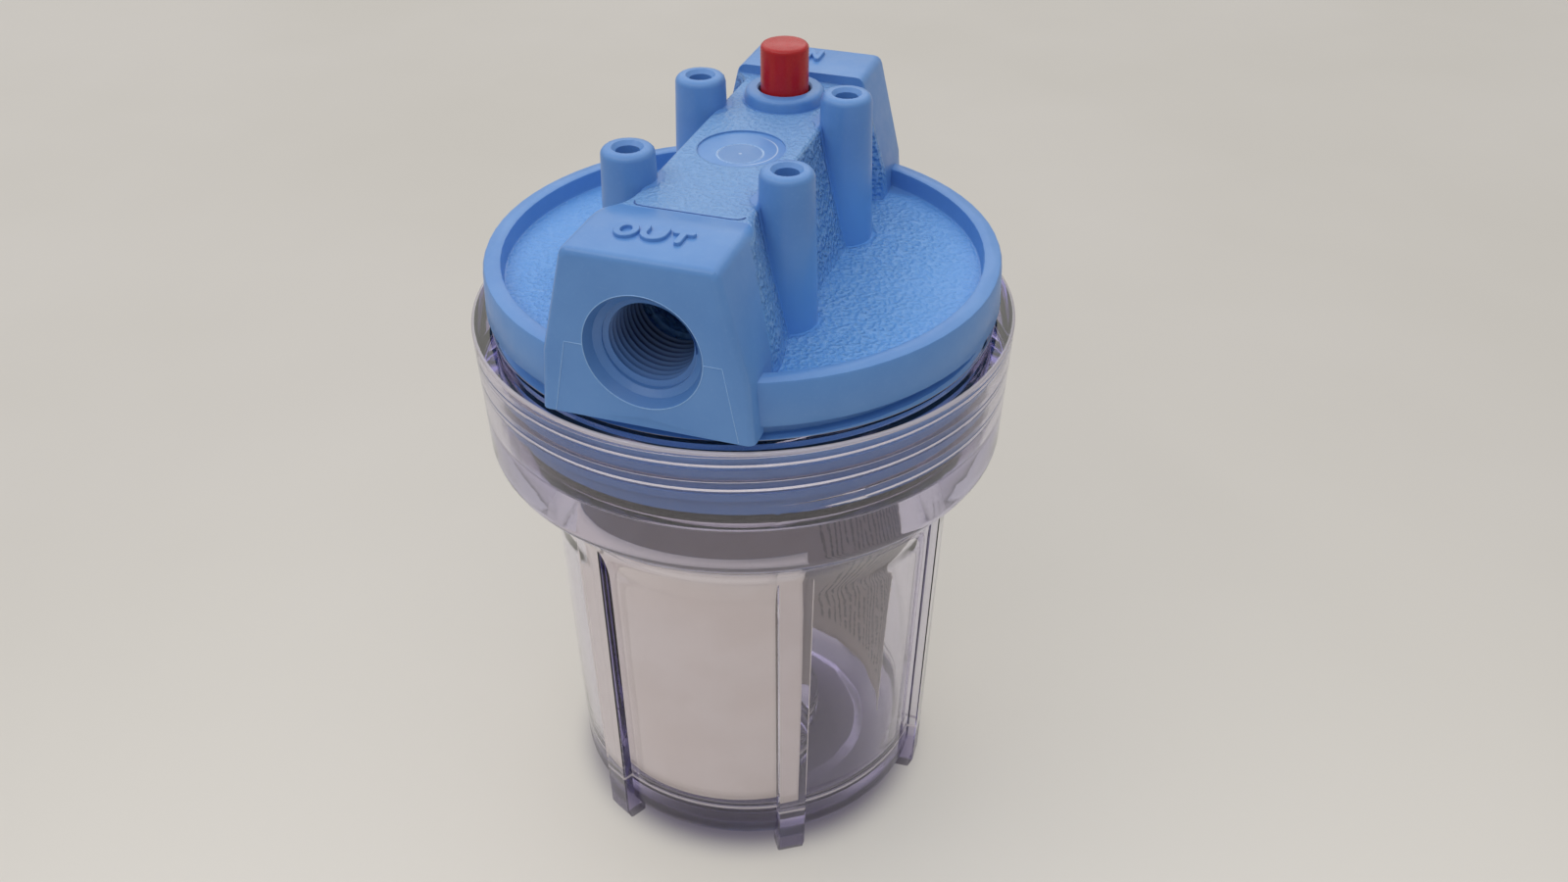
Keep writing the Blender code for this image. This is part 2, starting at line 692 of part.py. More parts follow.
def port_bore(side):
    """Cutters for one port: its steep mouth, its flatter lead-in and the tapered bore for the pipe thread."""
    name = "out" if side < 0 else "in"

    def at(depth):
        return (0.0, side * (PORT_REACH - depth), PORT_Z)

    over = 0.002
    lap = 0.00005
    deep = PORT_THREAD_START + PORT_THREAD_DEPTH
    slope = (PORT_MOUTH_RADIUS - PORT_LEAD_RADIUS) / PORT_MOUTH_DEPTH
    mouth = cylinder(
        f"port_mouth_{name}",
        PORT_MOUTH_RADIUS + slope * over,
        at(-over),
        at(PORT_MOUTH_DEPTH),
        CUTTERS,
        end_radius=PORT_LEAD_RADIUS,
        steps=48,
    )
    lead = cylinder(
        f"port_lead_{name}",
        PORT_LEAD_RADIUS,
        at(PORT_MOUTH_DEPTH - lap),
        at(PORT_THREAD_START),
        CUTTERS,
        end_radius=PORT_THREAD_RADIUS + 0.0001,
        steps=48,
    )
    bore = cylinder(
        f"port_bore_{name}",
        PORT_THREAD_RADIUS,
        at(0.0),
        at(deep),
        CUTTERS,
        end_radius=PORT_THREAD_RADIUS - PORT_TAPER,
        steps=48,
    )
    return mouth, lead, bore


def water_ways():
    """Cutters for the outlet's well in the middle and the inlet's drop into the bowl."""
    deep = PORT_REACH - PORT_THREAD_START - PORT_THREAD_DEPTH
    over = 0.002
    inlet_end = WELL_RADIUS + WELL_WALL + 0.3 * PASSAGE_RADIUS
    out_way = cylinder("out_way", PASSAGE_RADIUS, (0, -deep - over, PORT_Z), (0, 0, PORT_Z), CUTTERS)
    in_way = cylinder("in_way", PASSAGE_RADIUS, (0, deep + over, PORT_Z), (0, inlet_end, PORT_Z), CUTTERS)
    drop_y = inlet_end + PASSAGE_RADIUS + over
    drop = cylinder(
        "in_drop",
        PASSAGE_RADIUS - 0.0005,
        (0, drop_y, PORT_Z),
        (0, drop_y, PLATE_Z - over),
        CUTTERS,
        steps=32,
    )
    well = cylinder(
        "well",
        WELL_RADIUS,
        (0, 0, PORT_Z + PASSAGE_RADIUS + 0.0005),
        (0, 0, PLATE_Z - WELL_DROP - over),
        CUTTERS,
        end_radius=WELL_RADIUS + 0.0005,
        steps=32,
    )
    return out_way, in_way, drop, well


def well_tube():
    """The tube under the plate that seals on a cartridge: a knife edge runs round its end."""
    outer = WELL_RADIUS + WELL_WALL
    end = PLATE_Z - WELL_DROP
    low = end + WELL_EDGE
    ridge = WELL_RADIUS + 0.62 * WELL_WALL
    return turned(
        "well_tube",
        [
            (0.0, DISH_Z - 0.5 * PLATE_THICKNESS),
            (outer + 0.0005, DISH_Z - 0.5 * PLATE_THICKNESS),
            (outer, low),
            (ridge + 0.0013, low),
            (ridge + 0.0003, end),
            (ridge - 0.0003, end),
            (ridge - 0.0013, low),
            (0.0, low),
        ],
        CUTTERS,
        steps=40,
    )


def under_ribs():
    """Stiffening ribs under the plate, from the well tube out to the skirt."""
    made = []
    start = WELL_RADIUS + 0.6 * WELL_WALL
    stop = SKIRT_INNER_RADIUS + 0.3 * SKIRT_WALL
    top = PLATE_Z + 0.4 * PLATE_THICKNESS
    low = PLATE_Z - RIB_PLATE_DEPTH
    for index in range(RIB_PLATE_COUNT):
        rib = box(
            f"under_rib_{index}",
            (start, -RIB_PLATE_THICKNESS / 2, low),
            (stop, RIB_PLATE_THICKNESS / 2, top),
            CUTTERS,
        )
        rib.data.transform(Matrix.Rotation(math.tau * (index + 0.5) / RIB_PLATE_COUNT, 4, "Z"))
        made.append(rib)
    return made


def relief_collar():
    """The raised collar round the button."""
    foot = RIDGE_Z - RELIEF_COLLAR_HEIGHT
    made = turned(
        "relief_collar",
        rounded(
            [
                (0.0, COLLAR_TOP_Z, 0.0),
                (RELIEF_COLLAR_RADIUS, COLLAR_TOP_Z, 0.45 * RELIEF_COLLAR_HEIGHT),
                (RELIEF_COLLAR_RADIUS + 0.0004, foot, 0.0),
                (0.0, foot, 0.0),
            ],
            steps=3,
        ),
        CUTTERS,
        steps=36,
    )
    made.location = (0.0, RELIEF_OFFSET, 0.0)
    return made


def relief_bore():
    """Cutter for the button's bore, the screw's hole below it and the seat that the seal closes."""
    break_edge = 0.0004
    stem_radius = SCREW_RADIUS + BUTTON_CLEARANCE
    seat_radius = RELIEF_SEAL_RADIUS + 0.8 * RELIEF_SEAL_SECTION
    made = turned(
        "relief_bore",
        [
            (0.0, COLLAR_TOP_Z + break_edge),
            (RELIEF_BORE_RADIUS + 2 * break_edge, COLLAR_TOP_Z + break_edge),
            (RELIEF_BORE_RADIUS, COLLAR_TOP_Z - break_edge),
            (RELIEF_BORE_RADIUS, SPRING_FLOOR_Z),
            (stem_radius, SPRING_FLOOR_Z),
            (stem_radius, RELIEF_SEAT_Z),
            (seat_radius, RELIEF_SEAT_Z),
            (seat_radius, PORT_Z),
            (0.0, PORT_Z),
        ],
        CUTTERS,
        steps=36,
    )
    made.location = (0.0, RELIEF_OFFSET, 0.0)
    return made


def make_cap(blue):
    """The blue cap with its bridge, ports, bosses and threaded skirt."""
    cap = turned("cap", cap_profile(), PARTS)
    join(cap, bridge())
    cut(cap, *panel_recess())
    solids, holes = bosses()
    join(cap, *solids)
    join(cap, relief_collar(), well_tube())
    join(cap, *under_ribs())
    for side in (-1.0, 1.0):
        cut(cap, *port_bore(side))
    cut(cap, *water_ways())
    cut(cap, relief_bore())
    cut(cap, *holes)
    thread = thread_ridge(
        "cap_thread",
        SKIRT_RADIUS,
        MALE_CREST_RADIUS,
        SKIRT_END_Z + THREAD_BASE_WIDTH / 2,
        CAP_Z - THREAD_CLEARANCE,
        THREAD_PITCH / 2,
    )
    join(cap, thread)
    finish(cap, blue)
    return cap


def make_button(red):
    """The hollow relief button: its post takes the screw and the spring stands round the post."""
    bore_end = SCREW_HEAD_Z
    cavity = BUTTON_RADIUS - BUTTON_WALL
    post_end = BUTTON_END_Z + 0.0015
    hole_end = post_end + SCREW_HOLD + 0.0010
    profile = rounded(
        [
            (0.0, BUTTON_TOP_Z, 0.0),
            (BUTTON_RADIUS, BUTTON_TOP_Z, 0.17 * BUTTON_RADIUS),
            (BUTTON_RADIUS, BUTTON_END_Z, 0.0),
            (cavity, BUTTON_END_Z, 0.0),
            (cavity, BUTTON_ROOF_Z, 0.0),
            (BUTTON_POST_RADIUS, BUTTON_ROOF_Z, 0.0),
            (BUTTON_POST_RADIUS, post_end, 0.0),
            (SCREW_BORE_RADIUS, post_end, 0.0),
            (SCREW_BORE_RADIUS, hole_end, 0.0),
            (0.0, hole_end, 0.0),
        ],
        steps=3,
    )
    profile = [(radius, z - bore_end) for radius, z in profile]
    button = turned("relief_button", profile, PARTS, steps=36)
    button.location = (0.0, RELIEF_OFFSET, bore_end)
    finish(button, red)
    return button


def make_spring(steel):
    """The compression spring between the floor of the button's bore and the roof of the button."""
    low = SPRING_FLOOR_Z + SEAT_GAP + SPRING_WIRE / 2
    high = BUTTON_ROOF_Z - SEAT_GAP - SPRING_WIRE / 2
    per_turn = 12
    count = round(SPRING_TURNS * per_turn)
    path = bpy.data.curves.new("relief_spring", "CURVE")
    path.dimensions = "3D"
    path.bevel_depth = SPRING_WIRE / 2
    path.bevel_resolution = 1
    path.use_fill_caps = True
    spline = path.splines.new("POLY")
    spline.points.add(count)
    for index, point in enumerate(spline.points):
        turn = index / per_turn
        end_turns = min(turn, SPRING_TURNS - turn, 1.0)
        rise = smooth((turn - 0.8) / (SPRING_TURNS - 1.6))
        lift = SPRING_WIRE * 0.5 * end_turns * (1.0 if turn < SPRING_TURNS / 2 else -1.0)
        z = low + (high - low) * rise + lift * (1.0 - abs(2.0 * rise - 1.0))
        angle = math.tau * turn
        point.co = (SPRING_RADIUS * math.cos(angle), SPRING_RADIUS * math.sin(angle), z, 1.0)
    spring = bpy.data.objects.new("relief_spring", path)
    PARTS.objects.link(spring)
    spring.location = (0.0, RELIEF_OFFSET, 0.0)
    path.materials.append(steel)
    return spring


def make_screw(steel):
    """The screw that holds the seal up under the cap: a pan head and a shank into the button."""
    end = BUTTON_END_Z + 0.0015 + SCREW_HOLD
    low = SCREW_HEAD_Z - SCREW_HEAD_HEIGHT
    profile = rounded(
        [
            (0.0, end, 0.0),
            (0.5 * SCREW_RADIUS, end, 0.0),
            (SCREW_RADIUS, end - SCREW_RADIUS, 0.0),
            (SCREW_RADIUS, SCREW_HEAD_Z, 0.0),
            (SCREW_HEAD_RADIUS, SCREW_HEAD_Z, 0.0),
            (SCREW_HEAD_RADIUS, low, 0.5 * SCREW_HEAD_HEIGHT),
            (0.0, low, 0.0),
        ],
        steps=3,
    )
    profile = [(radius, z - SCREW_HEAD_Z) for radius, z in profile]
    screw = turned("relief_screw", profile, PARTS, steps=20)
    screw.location = (0.0, RELIEF_OFFSET, SCREW_HEAD_Z)
    slot = 0.16 * SCREW_HEAD_RADIUS
    arm = 0.55 * SCREW_HEAD_RADIUS
    for name, x, y in (("driver_slot_x", arm, slot), ("driver_slot_y", slot, arm)):
        cutter = box(
            name,
            (-x, RELIEF_OFFSET - y, low - SCREW_RADIUS),
            (x, RELIEF_OFFSET + y, low + 0.5 * SCREW_HEAD_HEIGHT),
            CUTTERS,
        )
        cut(screw, cutter)
    finish(screw, steel)
    return screw


def leaflet_middle(share):
    """Radius, middle point and height of the leaflet's roll at a share of its height."""
    z = FLOOR_Z + BASE_CORNER + LEAFLET_HEIGHT * share
    radius = min(body_radius(z) - BODY_WALL, THROAT_RADIUS) - LEAFLET_PLAY
    offset = LEAFLET_PLAY - LEAFLET_CLEARANCE
    return radius, Vector((offset * math.cos(LEAFLET_LEAN), offset * math.sin(LEAFLET_LEAN))), z


def make_leaflet(paper):
    """A leaflet rolled loosely inside the bowl: an open curved sheet with a Solidify modifier."""
    columns = 60
    rows = 4
    bm = bmesh.new()
    grid = []
    for row in range(rows + 1):
        radius, middle, z = leaflet_middle(row / rows)
        line = []
        for column in range(columns + 1):
            share = column / columns
            angle = LEAFLET_START + LEAFLET_SWEEP * share
            reach = radius * (1.0 - 0.03 * share)
            x = middle.x + reach * math.cos(angle)
            y = middle.y + reach * math.sin(angle)
            line.append(bm.verts.new((x, y, z)))
        grid.append(line)
    for low, high in zip(grid, grid[1:]):
        for index in range(columns):
            bm.faces.new((low[index], low[index + 1], high[index + 1], high[index]))
    leaflet = add_object("instruction_leaflet", mesh_from(bm, "instruction_leaflet"), PARTS)
    shell = leaflet.modifiers.new("sheet", "SOLIDIFY")
    shell.thickness = LEAFLET_THICKNESS
    shell.offset = 0.0
    finish(leaflet, paper)
    return leaflet


def main():
    """Model every piece."""
    blue = material("blue_polypropylene", (0.13, 0.33, 0.68), 0.42)
    clear = material("clear_plastic", (0.80, 0.78, 0.86), 0.05, transmission=0.9)
    rubber = material("black_rubber", (0.015, 0.015, 0.016), 0.55)
    small_rubber = material("seal_rubber", (0.02, 0.02, 0.021), 0.55)
    red = material("red_plastic", (0.55, 0.02, 0.03), 0.30)
    spring_steel = material("spring_steel", (0.55, 0.55, 0.57), 0.25, metallic=1.0)
    screw_steel = material("screw_steel", (0.60, 0.60, 0.62), 0.22, metallic=1.0)
    paper = material("paper", (0.55, 0.50, 0.46), 0.85)

    make_bowl(clear)
    make_cap(blue)
    o_ring("bowl_o_ring", SEAL_RADIUS, SEAL_SECTION, (0.0, 0.0, SEAL_Z), rubber, 60, 8)
    make_button(red)
    make_spring(spring_steel)
    make_screw(screw_steel)
    o_ring(
        "relief_seal",
        RELIEF_SEAL_RADIUS,
        RELIEF_SEAL_SECTION,
        (0.0, RELIEF_OFFSET, RELIEF_SEAL_Z),
        small_rubber,
        24,
        8,
    )
    make_leaflet(paper)


main()
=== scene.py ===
import math

import bmesh
import bpy
from mathutils import Matrix, Vector


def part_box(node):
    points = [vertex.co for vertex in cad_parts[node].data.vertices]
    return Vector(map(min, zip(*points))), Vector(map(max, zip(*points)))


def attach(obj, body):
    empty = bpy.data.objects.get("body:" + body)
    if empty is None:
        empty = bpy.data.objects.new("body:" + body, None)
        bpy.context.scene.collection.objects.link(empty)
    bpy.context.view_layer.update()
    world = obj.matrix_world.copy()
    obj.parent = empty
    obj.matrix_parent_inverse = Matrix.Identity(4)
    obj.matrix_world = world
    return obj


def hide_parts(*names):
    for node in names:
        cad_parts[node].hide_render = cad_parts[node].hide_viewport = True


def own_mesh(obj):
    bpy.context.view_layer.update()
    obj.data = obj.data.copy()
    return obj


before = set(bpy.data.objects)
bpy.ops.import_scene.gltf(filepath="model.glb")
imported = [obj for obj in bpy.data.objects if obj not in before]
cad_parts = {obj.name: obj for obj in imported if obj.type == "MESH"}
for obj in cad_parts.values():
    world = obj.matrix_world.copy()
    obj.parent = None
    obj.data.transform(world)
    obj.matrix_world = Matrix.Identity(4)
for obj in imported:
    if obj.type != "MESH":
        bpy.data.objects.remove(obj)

MM = 0.001

# Camera at the photograph's viewing angle
CAMERA_PLACE = (0.11279867, -0.30801622, 0.32716988)
CAMERA_TURN = (math.radians(55.41), 0.0, math.radians(18.43))
CAMERA_LENS = 35.69
CAMERA_SENSOR = 36.0

# Sizes of the CAD part that the scene's pieces are fitted to, in millimetres
COLLAR_BORE = 59.7
COLLAR_RADIUS = 65.0
FEMALE_CREST = 57.9
BOWL_HEIGHT = 142.6
COLLAR_HEIGHT = 32.8
COLLAR_DRAFT = 1.5
COLLAR_FOOT_EDGE = 5.0
LEDGE_Z = 120.1
GROOVE_Z = 118.5
GROOVE_INNER = 53.1
GROOVE_OUTER = 56.9
THROAT_RADIUS = 50.0
FLOOR_Z = 11.5
FOOT_HEIGHT = 4.0
BODY_TOP_RADIUS = 49.7
BODY_BASE_RADIUS = 46.4
BODY_TOP_Z = 96.3
BODY_WALL = 3.5
FLARE = 32.0
THREAD_PITCH = 6.35
SEAL_RADIUS = 55.0
SEAL_SECTION = 3.2
SEAL_Z = 120.4
BLOCK_Z = 184.0
RIDGE_Z = 181.7
PORT_Z = 162.5
PORT_REACH = 61.0
PORT_MOUTH_RADIUS = 13.3
PORT_THREAD_RADIUS = 10.6
PORT_THREAD_START = 3.6
PORT_INNER_Y = 36.0
PORT_BLOCK_Y = 43.0
PORT_BLOCK_DRAFT = 0.127
BOSS_X, BOSS_Y = 18.2, 22.0
DISH_LOW_Z = 151.6
RELIEF_Y = 31.0
SPRING_LOW_Z, SPRING_HIGH_Z = 175.6, 191.5
SEAT_RING_RADIUS = 19.5
SEAT_RING_WALL = 2.2
SEAT_RING_HEIGHT = 8.0
GATE_Z = 181.3
GATE_DISC_RADIUS = 10.1

# Sizes of what only the scene shows, in millimetres
GATE_X, GATE_Y = 0.4, -2.0
GATE_RING_RADIUS = 5.25
GATE_STEP_RADIUS = 8.2
MOULD_LINE_Z = 162.2
LETTER_HEIGHT = 0.8
PANEL_CREASE = [
    (-12.3, -32.9),
    (-11.9, -34.0),
    (-11.0, -34.8),
    (-9.6, -35.2),
    (-6.0, -35.2),
    (0.0, -35.2),
    (6.0, -35.2),
    (10.2, -35.2),
    (11.6, -34.8),
    (12.4, -34.0),
    (12.7, -33.0),
]
LEAFLET_PLAY = 4.8
LEAFLET_OFFSET = 4.0
LEAFLET_LOW_Z = 16.5
LEAFLET_HEIGHT = 88.0
LEAFLET_START = -50.0
LEAFLET_SWEEP = -300.0
LEAFLET_ARC = 217.0
LEAFLET_LEAN = -95.0
PAPER_THICKNESS = 0.16
PRINT_FROM = 0.785
PRINT_ROW = 2.6

# Room: the floor's half width in metres, and the tone of the lamps and the world
FLOOR_HALF_WIDTH = 6.0
LAMP_COLOUR = (1.0, 0.985, 0.96)
WORLD_STRENGTH = 0.27

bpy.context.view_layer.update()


# Shader nodes


class Shade:
    """Builds the node tree of one material around a Principled shader."""

    def __init__(self, name):
        self.material = bpy.data.materials.new(name)
        self.material.use_nodes = True
        self.tree = self.material.node_tree
        self.shader = self.tree.nodes["Principled BSDF"]
        self.output = self.tree.nodes["Material Output"]
        where = self.new("ShaderNodeTexCoord")
        self.place = where.outputs["Object"]
        self.uv = where.outputs["UV"]
        scaled = self.new("ShaderNodeVectorMath", operation="SCALE")
        self.link(self.place, scaled.inputs[0])
        scaled.inputs["Scale"].default_value = 1000.0
        self.mm = scaled.outputs[0]
        split = self.new("ShaderNodeSeparateXYZ")
        self.link(self.mm, split.inputs[0])
        self.x, self.y, self.z = split.outputs

    def new(self, kind, **settings):
        made = self.tree.nodes.new(kind)
        for key, value in settings.items():
            setattr(made, key, value)
        return made

    def link(self, source, target):
        self.tree.links.new(source, target)

    def put(self, value, socket):
        """Give a socket a number, a colour or another socket."""
        if isinstance(value, bpy.types.NodeSocket):
            self.link(value, socket)
        else:
            socket.default_value = value

    def set(self, **values):
        """Give the shader constants or sockets, with underscores for spaces."""
        for key, value in values.items():
            self.put(value, self.shader.inputs[key.replace("_", " ")])

    def math(self, operation, a, b=0.0):
        made = self.new("ShaderNodeMath", operation=operation)
        self.put(a, made.inputs[0])
        self.put(b, made.inputs[1])
        return made.outputs[0]

    def add(self, a, b):
        return self.math("ADD", a, b)

    def take(self, a, b):
        return self.math("SUBTRACT", a, b)

    def times(self, a, *rest):
        for b in rest:
            a = self.math("MULTIPLY", a, b)
        return a

    def length(self, a, b):
        """Length of the vector (a, b)."""
        joined = self.new("ShaderNodeCombineXYZ")
        self.put(a, joined.inputs[0])
        self.put(b, joined.inputs[1])
        made = self.new("ShaderNodeVectorMath", operation="LENGTH")
        self.link(joined.outputs[0], made.inputs[0])
        return made.outputs["Value"]

    def ramp(self, value, low, high, start=0.0, end=1.0):
        """Smooth step of a value between low and high."""
        made = self.new("ShaderNodeMapRange", interpolation_type="SMOOTHSTEP")
        self.put(value, made.inputs["Value"])
        self.put(low, made.inputs["From Min"])
        self.put(high, made.inputs["From Max"])
        self.put(start, made.inputs["To Min"])
        self.put(end, made.inputs["To Max"])
        return made.outputs["Result"]

    def band(self, value, middle, half, soft):
        """1 where the value is within half of the middle, 0 beyond half + soft."""
        off = self.math("ABSOLUTE", self.take(value, middle))
        return self.ramp(off, half, half + soft, 1.0, 0.0)

    def noise(self, scale, detail=3.0, rough=0.5, place=None, stretch=None, distortion=0.0):
        """Noise with a scale in features per millimetre."""
        where = self.mm if place is None else place
        if stretch is not None:
            made = self.new("ShaderNodeVectorMath", operation="MULTIPLY")
            self.link(where, made.inputs[0])
            made.inputs[1].default_value = stretch
            where = made.outputs[0]
        made = self.new("ShaderNodeTexNoise")
        self.link(where, made.inputs["Vector"])
        made.inputs["Scale"].default_value = scale
        made.inputs["Detail"].default_value = detail
        made.inputs["Roughness"].default_value = rough
        made.inputs["Distortion"].default_value = distortion
        return made.outputs["Fac"]

    def cells(self, scale, place):
        """Distance to the nearest of scattered points, with soft borders between the cells."""
        made = self.new("ShaderNodeTexVoronoi", feature="SMOOTH_F1")
        self.link(place, made.inputs["Vector"])
        made.inputs["Scale"].default_value = scale
        made.inputs["Randomness"].default_value = 1.0
        return made.outputs["Distance"]

    def mix(self, share, a, b):
        """Mix two colours."""
        made = self.new("ShaderNodeMix", data_type="RGBA", blend_type="MIX")
        self.put(share, made.inputs["Factor"])
        self.put(a, made.inputs[6])
        self.put(b, made.inputs[7])
        return made.outputs[2]

    def bump(self, height, distance, normal=None):
        """Bump of a height in 0 to 1, with its distance in millimetres."""
        made = self.new("ShaderNodeBump")
        made.inputs["Strength"].default_value = 1.0
        made.inputs["Distance"].default_value = distance * MM
        self.put(height, made.inputs["Height"])
        if normal is not None:
            self.link(normal, made.inputs["Normal"])
        return made.outputs["Normal"]


def linear(red, green, blue):
    """A screen colour of 0 to 255 as linear light."""
    out = []
    for value in (red, green, blue):
        share = value / 255.0
        out.append(share / 12.92 if share <= 0.04045 else ((share + 0.055) / 1.055) ** 2.4)
    return (*out, 1.0)


def blue_plastic(name, grained=True):
    """Moulded polypropylene: smooth blocks, rim and bosses, leather grain on dish, ridge and panel. Painted
    shade darkens the ports, painted light brightens the dish, and painted highlights mark the ridge top, the
    grain and the gate's step.
    """
    s = Shade(name)
    ax = s.math("ABSOLUTE", s.x)
    ay = s.math("ABSOLUTE", s.y)
    soft_noise = s.noise(0.045, 3.0, 0.55)
    fine_noise = s.noise(0.9, 3.0, 0.6)
    colour = s.mix(s.ramp(soft_noise, 0.3, 0.7), linear(88, 139, 205), linear(97, 147, 211))
    colour = s.mix(s.times(s.ramp(fine_noise, 0.5, 0.8), 0.25), colour, linear(112, 157, 214))
    ripple = s.bump(s.noise(0.11, 2.0, 0.4), 0.10)
    normal = s.bump(s.noise(1.7, 3.0, 0.6), 0.012, normal=ripple)
    rough = s.ramp(s.noise(0.22, 4.0, 0.6), 0.3, 0.7, 0.30, 0.40)
    port = s.length(s.x, s.take(s.z, PORT_Z))
    past_inner = s.ramp(ay, PORT_INNER_Y, PORT_INNER_Y + 1.0)
    # Painted shade: the port mouth and bore are painted darker, most deep in the bore and in the thread
    # roots, where little light reaches.
    mouth_shade = s.times(
        s.ramp(port, PORT_MOUTH_RADIUS + 0.05, PORT_MOUTH_RADIUS - 0.1, 0.0, 1.0),
        past_inner,
        s.ramp(ay, PORT_REACH - 0.05, PORT_REACH - 0.3),
    )
    colour = s.mix(s.times(mouth_shade, 0.35), colour, linear(52, 88, 150))
    root = s.ramp(s.add(port, s.times(s.take(PORT_REACH, ay), 0.025)), 9.75, 10.35, 0.40, 1.0)
    port_shade = s.times(s.ramp(port, 11.0, 10.8), s.ramp(ay, 58.5, 46.0), past_inner, root)
    colour = s.mix(s.times(port_shade, 0.92), colour, linear(16, 38, 98))
    rough = s.add(rough, s.times(port_shade, 0.35))
    if grained:
        radius = s.length(s.x, s.y)
        boss = s.length(s.take(ax, BOSS_X), s.take(ay, BOSS_Y))
        collar = s.length(s.x, s.take(s.y, RELIEF_Y))
        wander = s.times(s.take(s.noise(0.7, 2.0), 0.5), 1.6)
        edge_y = s.add(s.times(s.take(BLOCK_Z, s.z), PORT_BLOCK_DRAFT), PORT_BLOCK_Y)
        mask = s.times(
            s.ramp(s.add(radius, wander), 55.4, 56.0, 1.0, 0.0),
            s.ramp(s.add(boss, wander), 7.3, 8.3),
            s.ramp(collar, 9.9, 10.6),
            s.ramp(radius, GATE_DISC_RADIUS - 0.2, GATE_DISC_RADIUS + 0.4),
            s.ramp(s.add(s.take(ay, edge_y), wander), -0.5, 0.5, 1.0, 0.0),
            s.ramp(s.z, RIDGE_Z + 0.3, RIDGE_Z + 0.6, 1.0, 0.0),
            s.ramp(s.z, DISH_LOW_Z, DISH_LOW_Z + 0.7),
        )
        twist = s.new("ShaderNodeVectorMath", operation="ADD")
        s.link(s.mm, twist.inputs[0])
        warp = s.new("ShaderNodeTexNoise")
        s.link(s.mm, warp.inputs["Vector"])
        warp.inputs["Scale"].default_value = 0.9
        s.link(warp.outputs["Color"], twist.inputs[1])
        pebble = s.cells(0.92, twist.outputs[0])
        wrinkle = s.noise(1.9, 3.0, 0.6, distortion=0.6)
        grain = s.add(s.times(s.ramp(pebble, 0.1, 0.75), 0.8), s.times(wrinkle, 0.45))
        steep = s.ramp(s.z, 153.5, 158.0, 0.5, 1.0)
        level = s.ramp(s.z, RIDGE_Z - 0.8, RIDGE_Z - 0.3, 1.0, 0.28)
        fade = s.ramp(s.length(s.take(ax, 18.0), s.take(ay, 20.0)), 16.0, 34.0, 1.0, 0.35)
        depth = s.times(mask, steep, level, fade)
        # Painted light: the dish is painted a lighter, bluer tone, standing in for light bounced about
        # inside it.
        dish_fill_light = s.times(s.ramp(radius, 55.6, 56.4, 1.0, 0.0), s.ramp(s.z, 181.0, 160.0))
        outside = s.ramp(s.take(ay, edge_y), 0.0, 1.0, 1.0, 0.0)
        colour = s.mix(s.times(dish_fill_light, outside), colour, linear(98, 158, 226))
        # Painted sheen: the ridge and panel tops are painted paler, as where they catch the overhead light.
        ridge_top_sheen = s.times(s.ramp(s.z, RIDGE_Z - 1.1, RIDGE_Z - 0.5), mask)
        colour = s.mix(ridge_top_sheen, colour, linear(112, 157, 212))
        normal = s.bump(s.times(grain, depth), 0.95, normal=normal)
        rough = s.add(rough, s.times(mask, 0.04))
        # Painted highlights on the grain's raised cell edges, and painted shade in its pits.
        colour = s.mix(s.times(depth, s.ramp(pebble, 0.40, 0.80), 0.60), colour, linear(150, 192, 240))
        colour = s.mix(s.times(depth, s.ramp(pebble, 0.30, 0.1), 0.40), colour, linear(62, 116, 196))
        gate_radius = s.length(s.take(s.x, GATE_X), s.take(s.y, GATE_Y))
        on_gate = s.band(s.z, GATE_Z, 0.25, 0.05)
        inside = s.times(
            s.ramp(gate_radius, GATE_RING_RADIUS - 0.25, GATE_RING_RADIUS + 0.15, 1.0, 0.0),
            on_gate,
            0.5,
        )
        colour = s.mix(inside, colour, linear(96, 134, 188))
        ring = s.times(
            s.band(gate_radius, GATE_RING_RADIUS, 0.14, 0.12),
            on_gate,
            s.ramp(s.noise(0.45, 2.0), 0.34, 0.5, 0.65, 1.0),
        )
        # Painted highlight: a pale arc on the right side of the gate's step, where light catches it.
        outer = s.times(
            s.band(radius, GATE_STEP_RADIUS, 0.08, 0.14),
            on_gate,
            s.ramp(s.x, 1.0, 6.0),
            0.55,
        )
        dot = s.times(s.ramp(gate_radius, 0.2, 0.55, 1.0, 0.0), on_gate, 0.5)
        white = s.math("MAXIMUM", s.math("MAXIMUM", ring, outer), dot)
        colour = s.mix(white, colour, linear(208, 224, 242))
    s.set(Base_Color=colour, Roughness=rough, Normal=normal, IOR=1.49, Specular_IOR_Level=0.5)
    return s.material


def witness_plastic(name):
    """The raised lines that the mould leaves, a little paler than the moulding."""
    s = Shade(name)
    colour = s.mix(s.noise(1.5, 2.0), linear(120, 170, 228), linear(160, 196, 236))
    s.set(Base_Color=colour, Roughness=s.ramp(s.noise(2.0), 0.3, 0.7, 0.3, 0.4))
    s.set(Normal=s.bump(s.noise(3.0), 0.01))
    return s.material


def crease_shade_plastic(name):
    """Painted shade: the dark bead along the front of the grained panel stands for the shadow in its crease.
    """
    s = Shade(name)
    colour = s.mix(s.noise(1.2, 2.0), linear(44, 82, 150), linear(60, 102, 172))
    s.set(Base_Color=colour, Roughness=s.ramp(s.noise(2.0), 0.3, 0.7, 0.5, 0.6))
    s.set(Normal=s.bump(s.noise(3.0), 0.01))
    return s.material


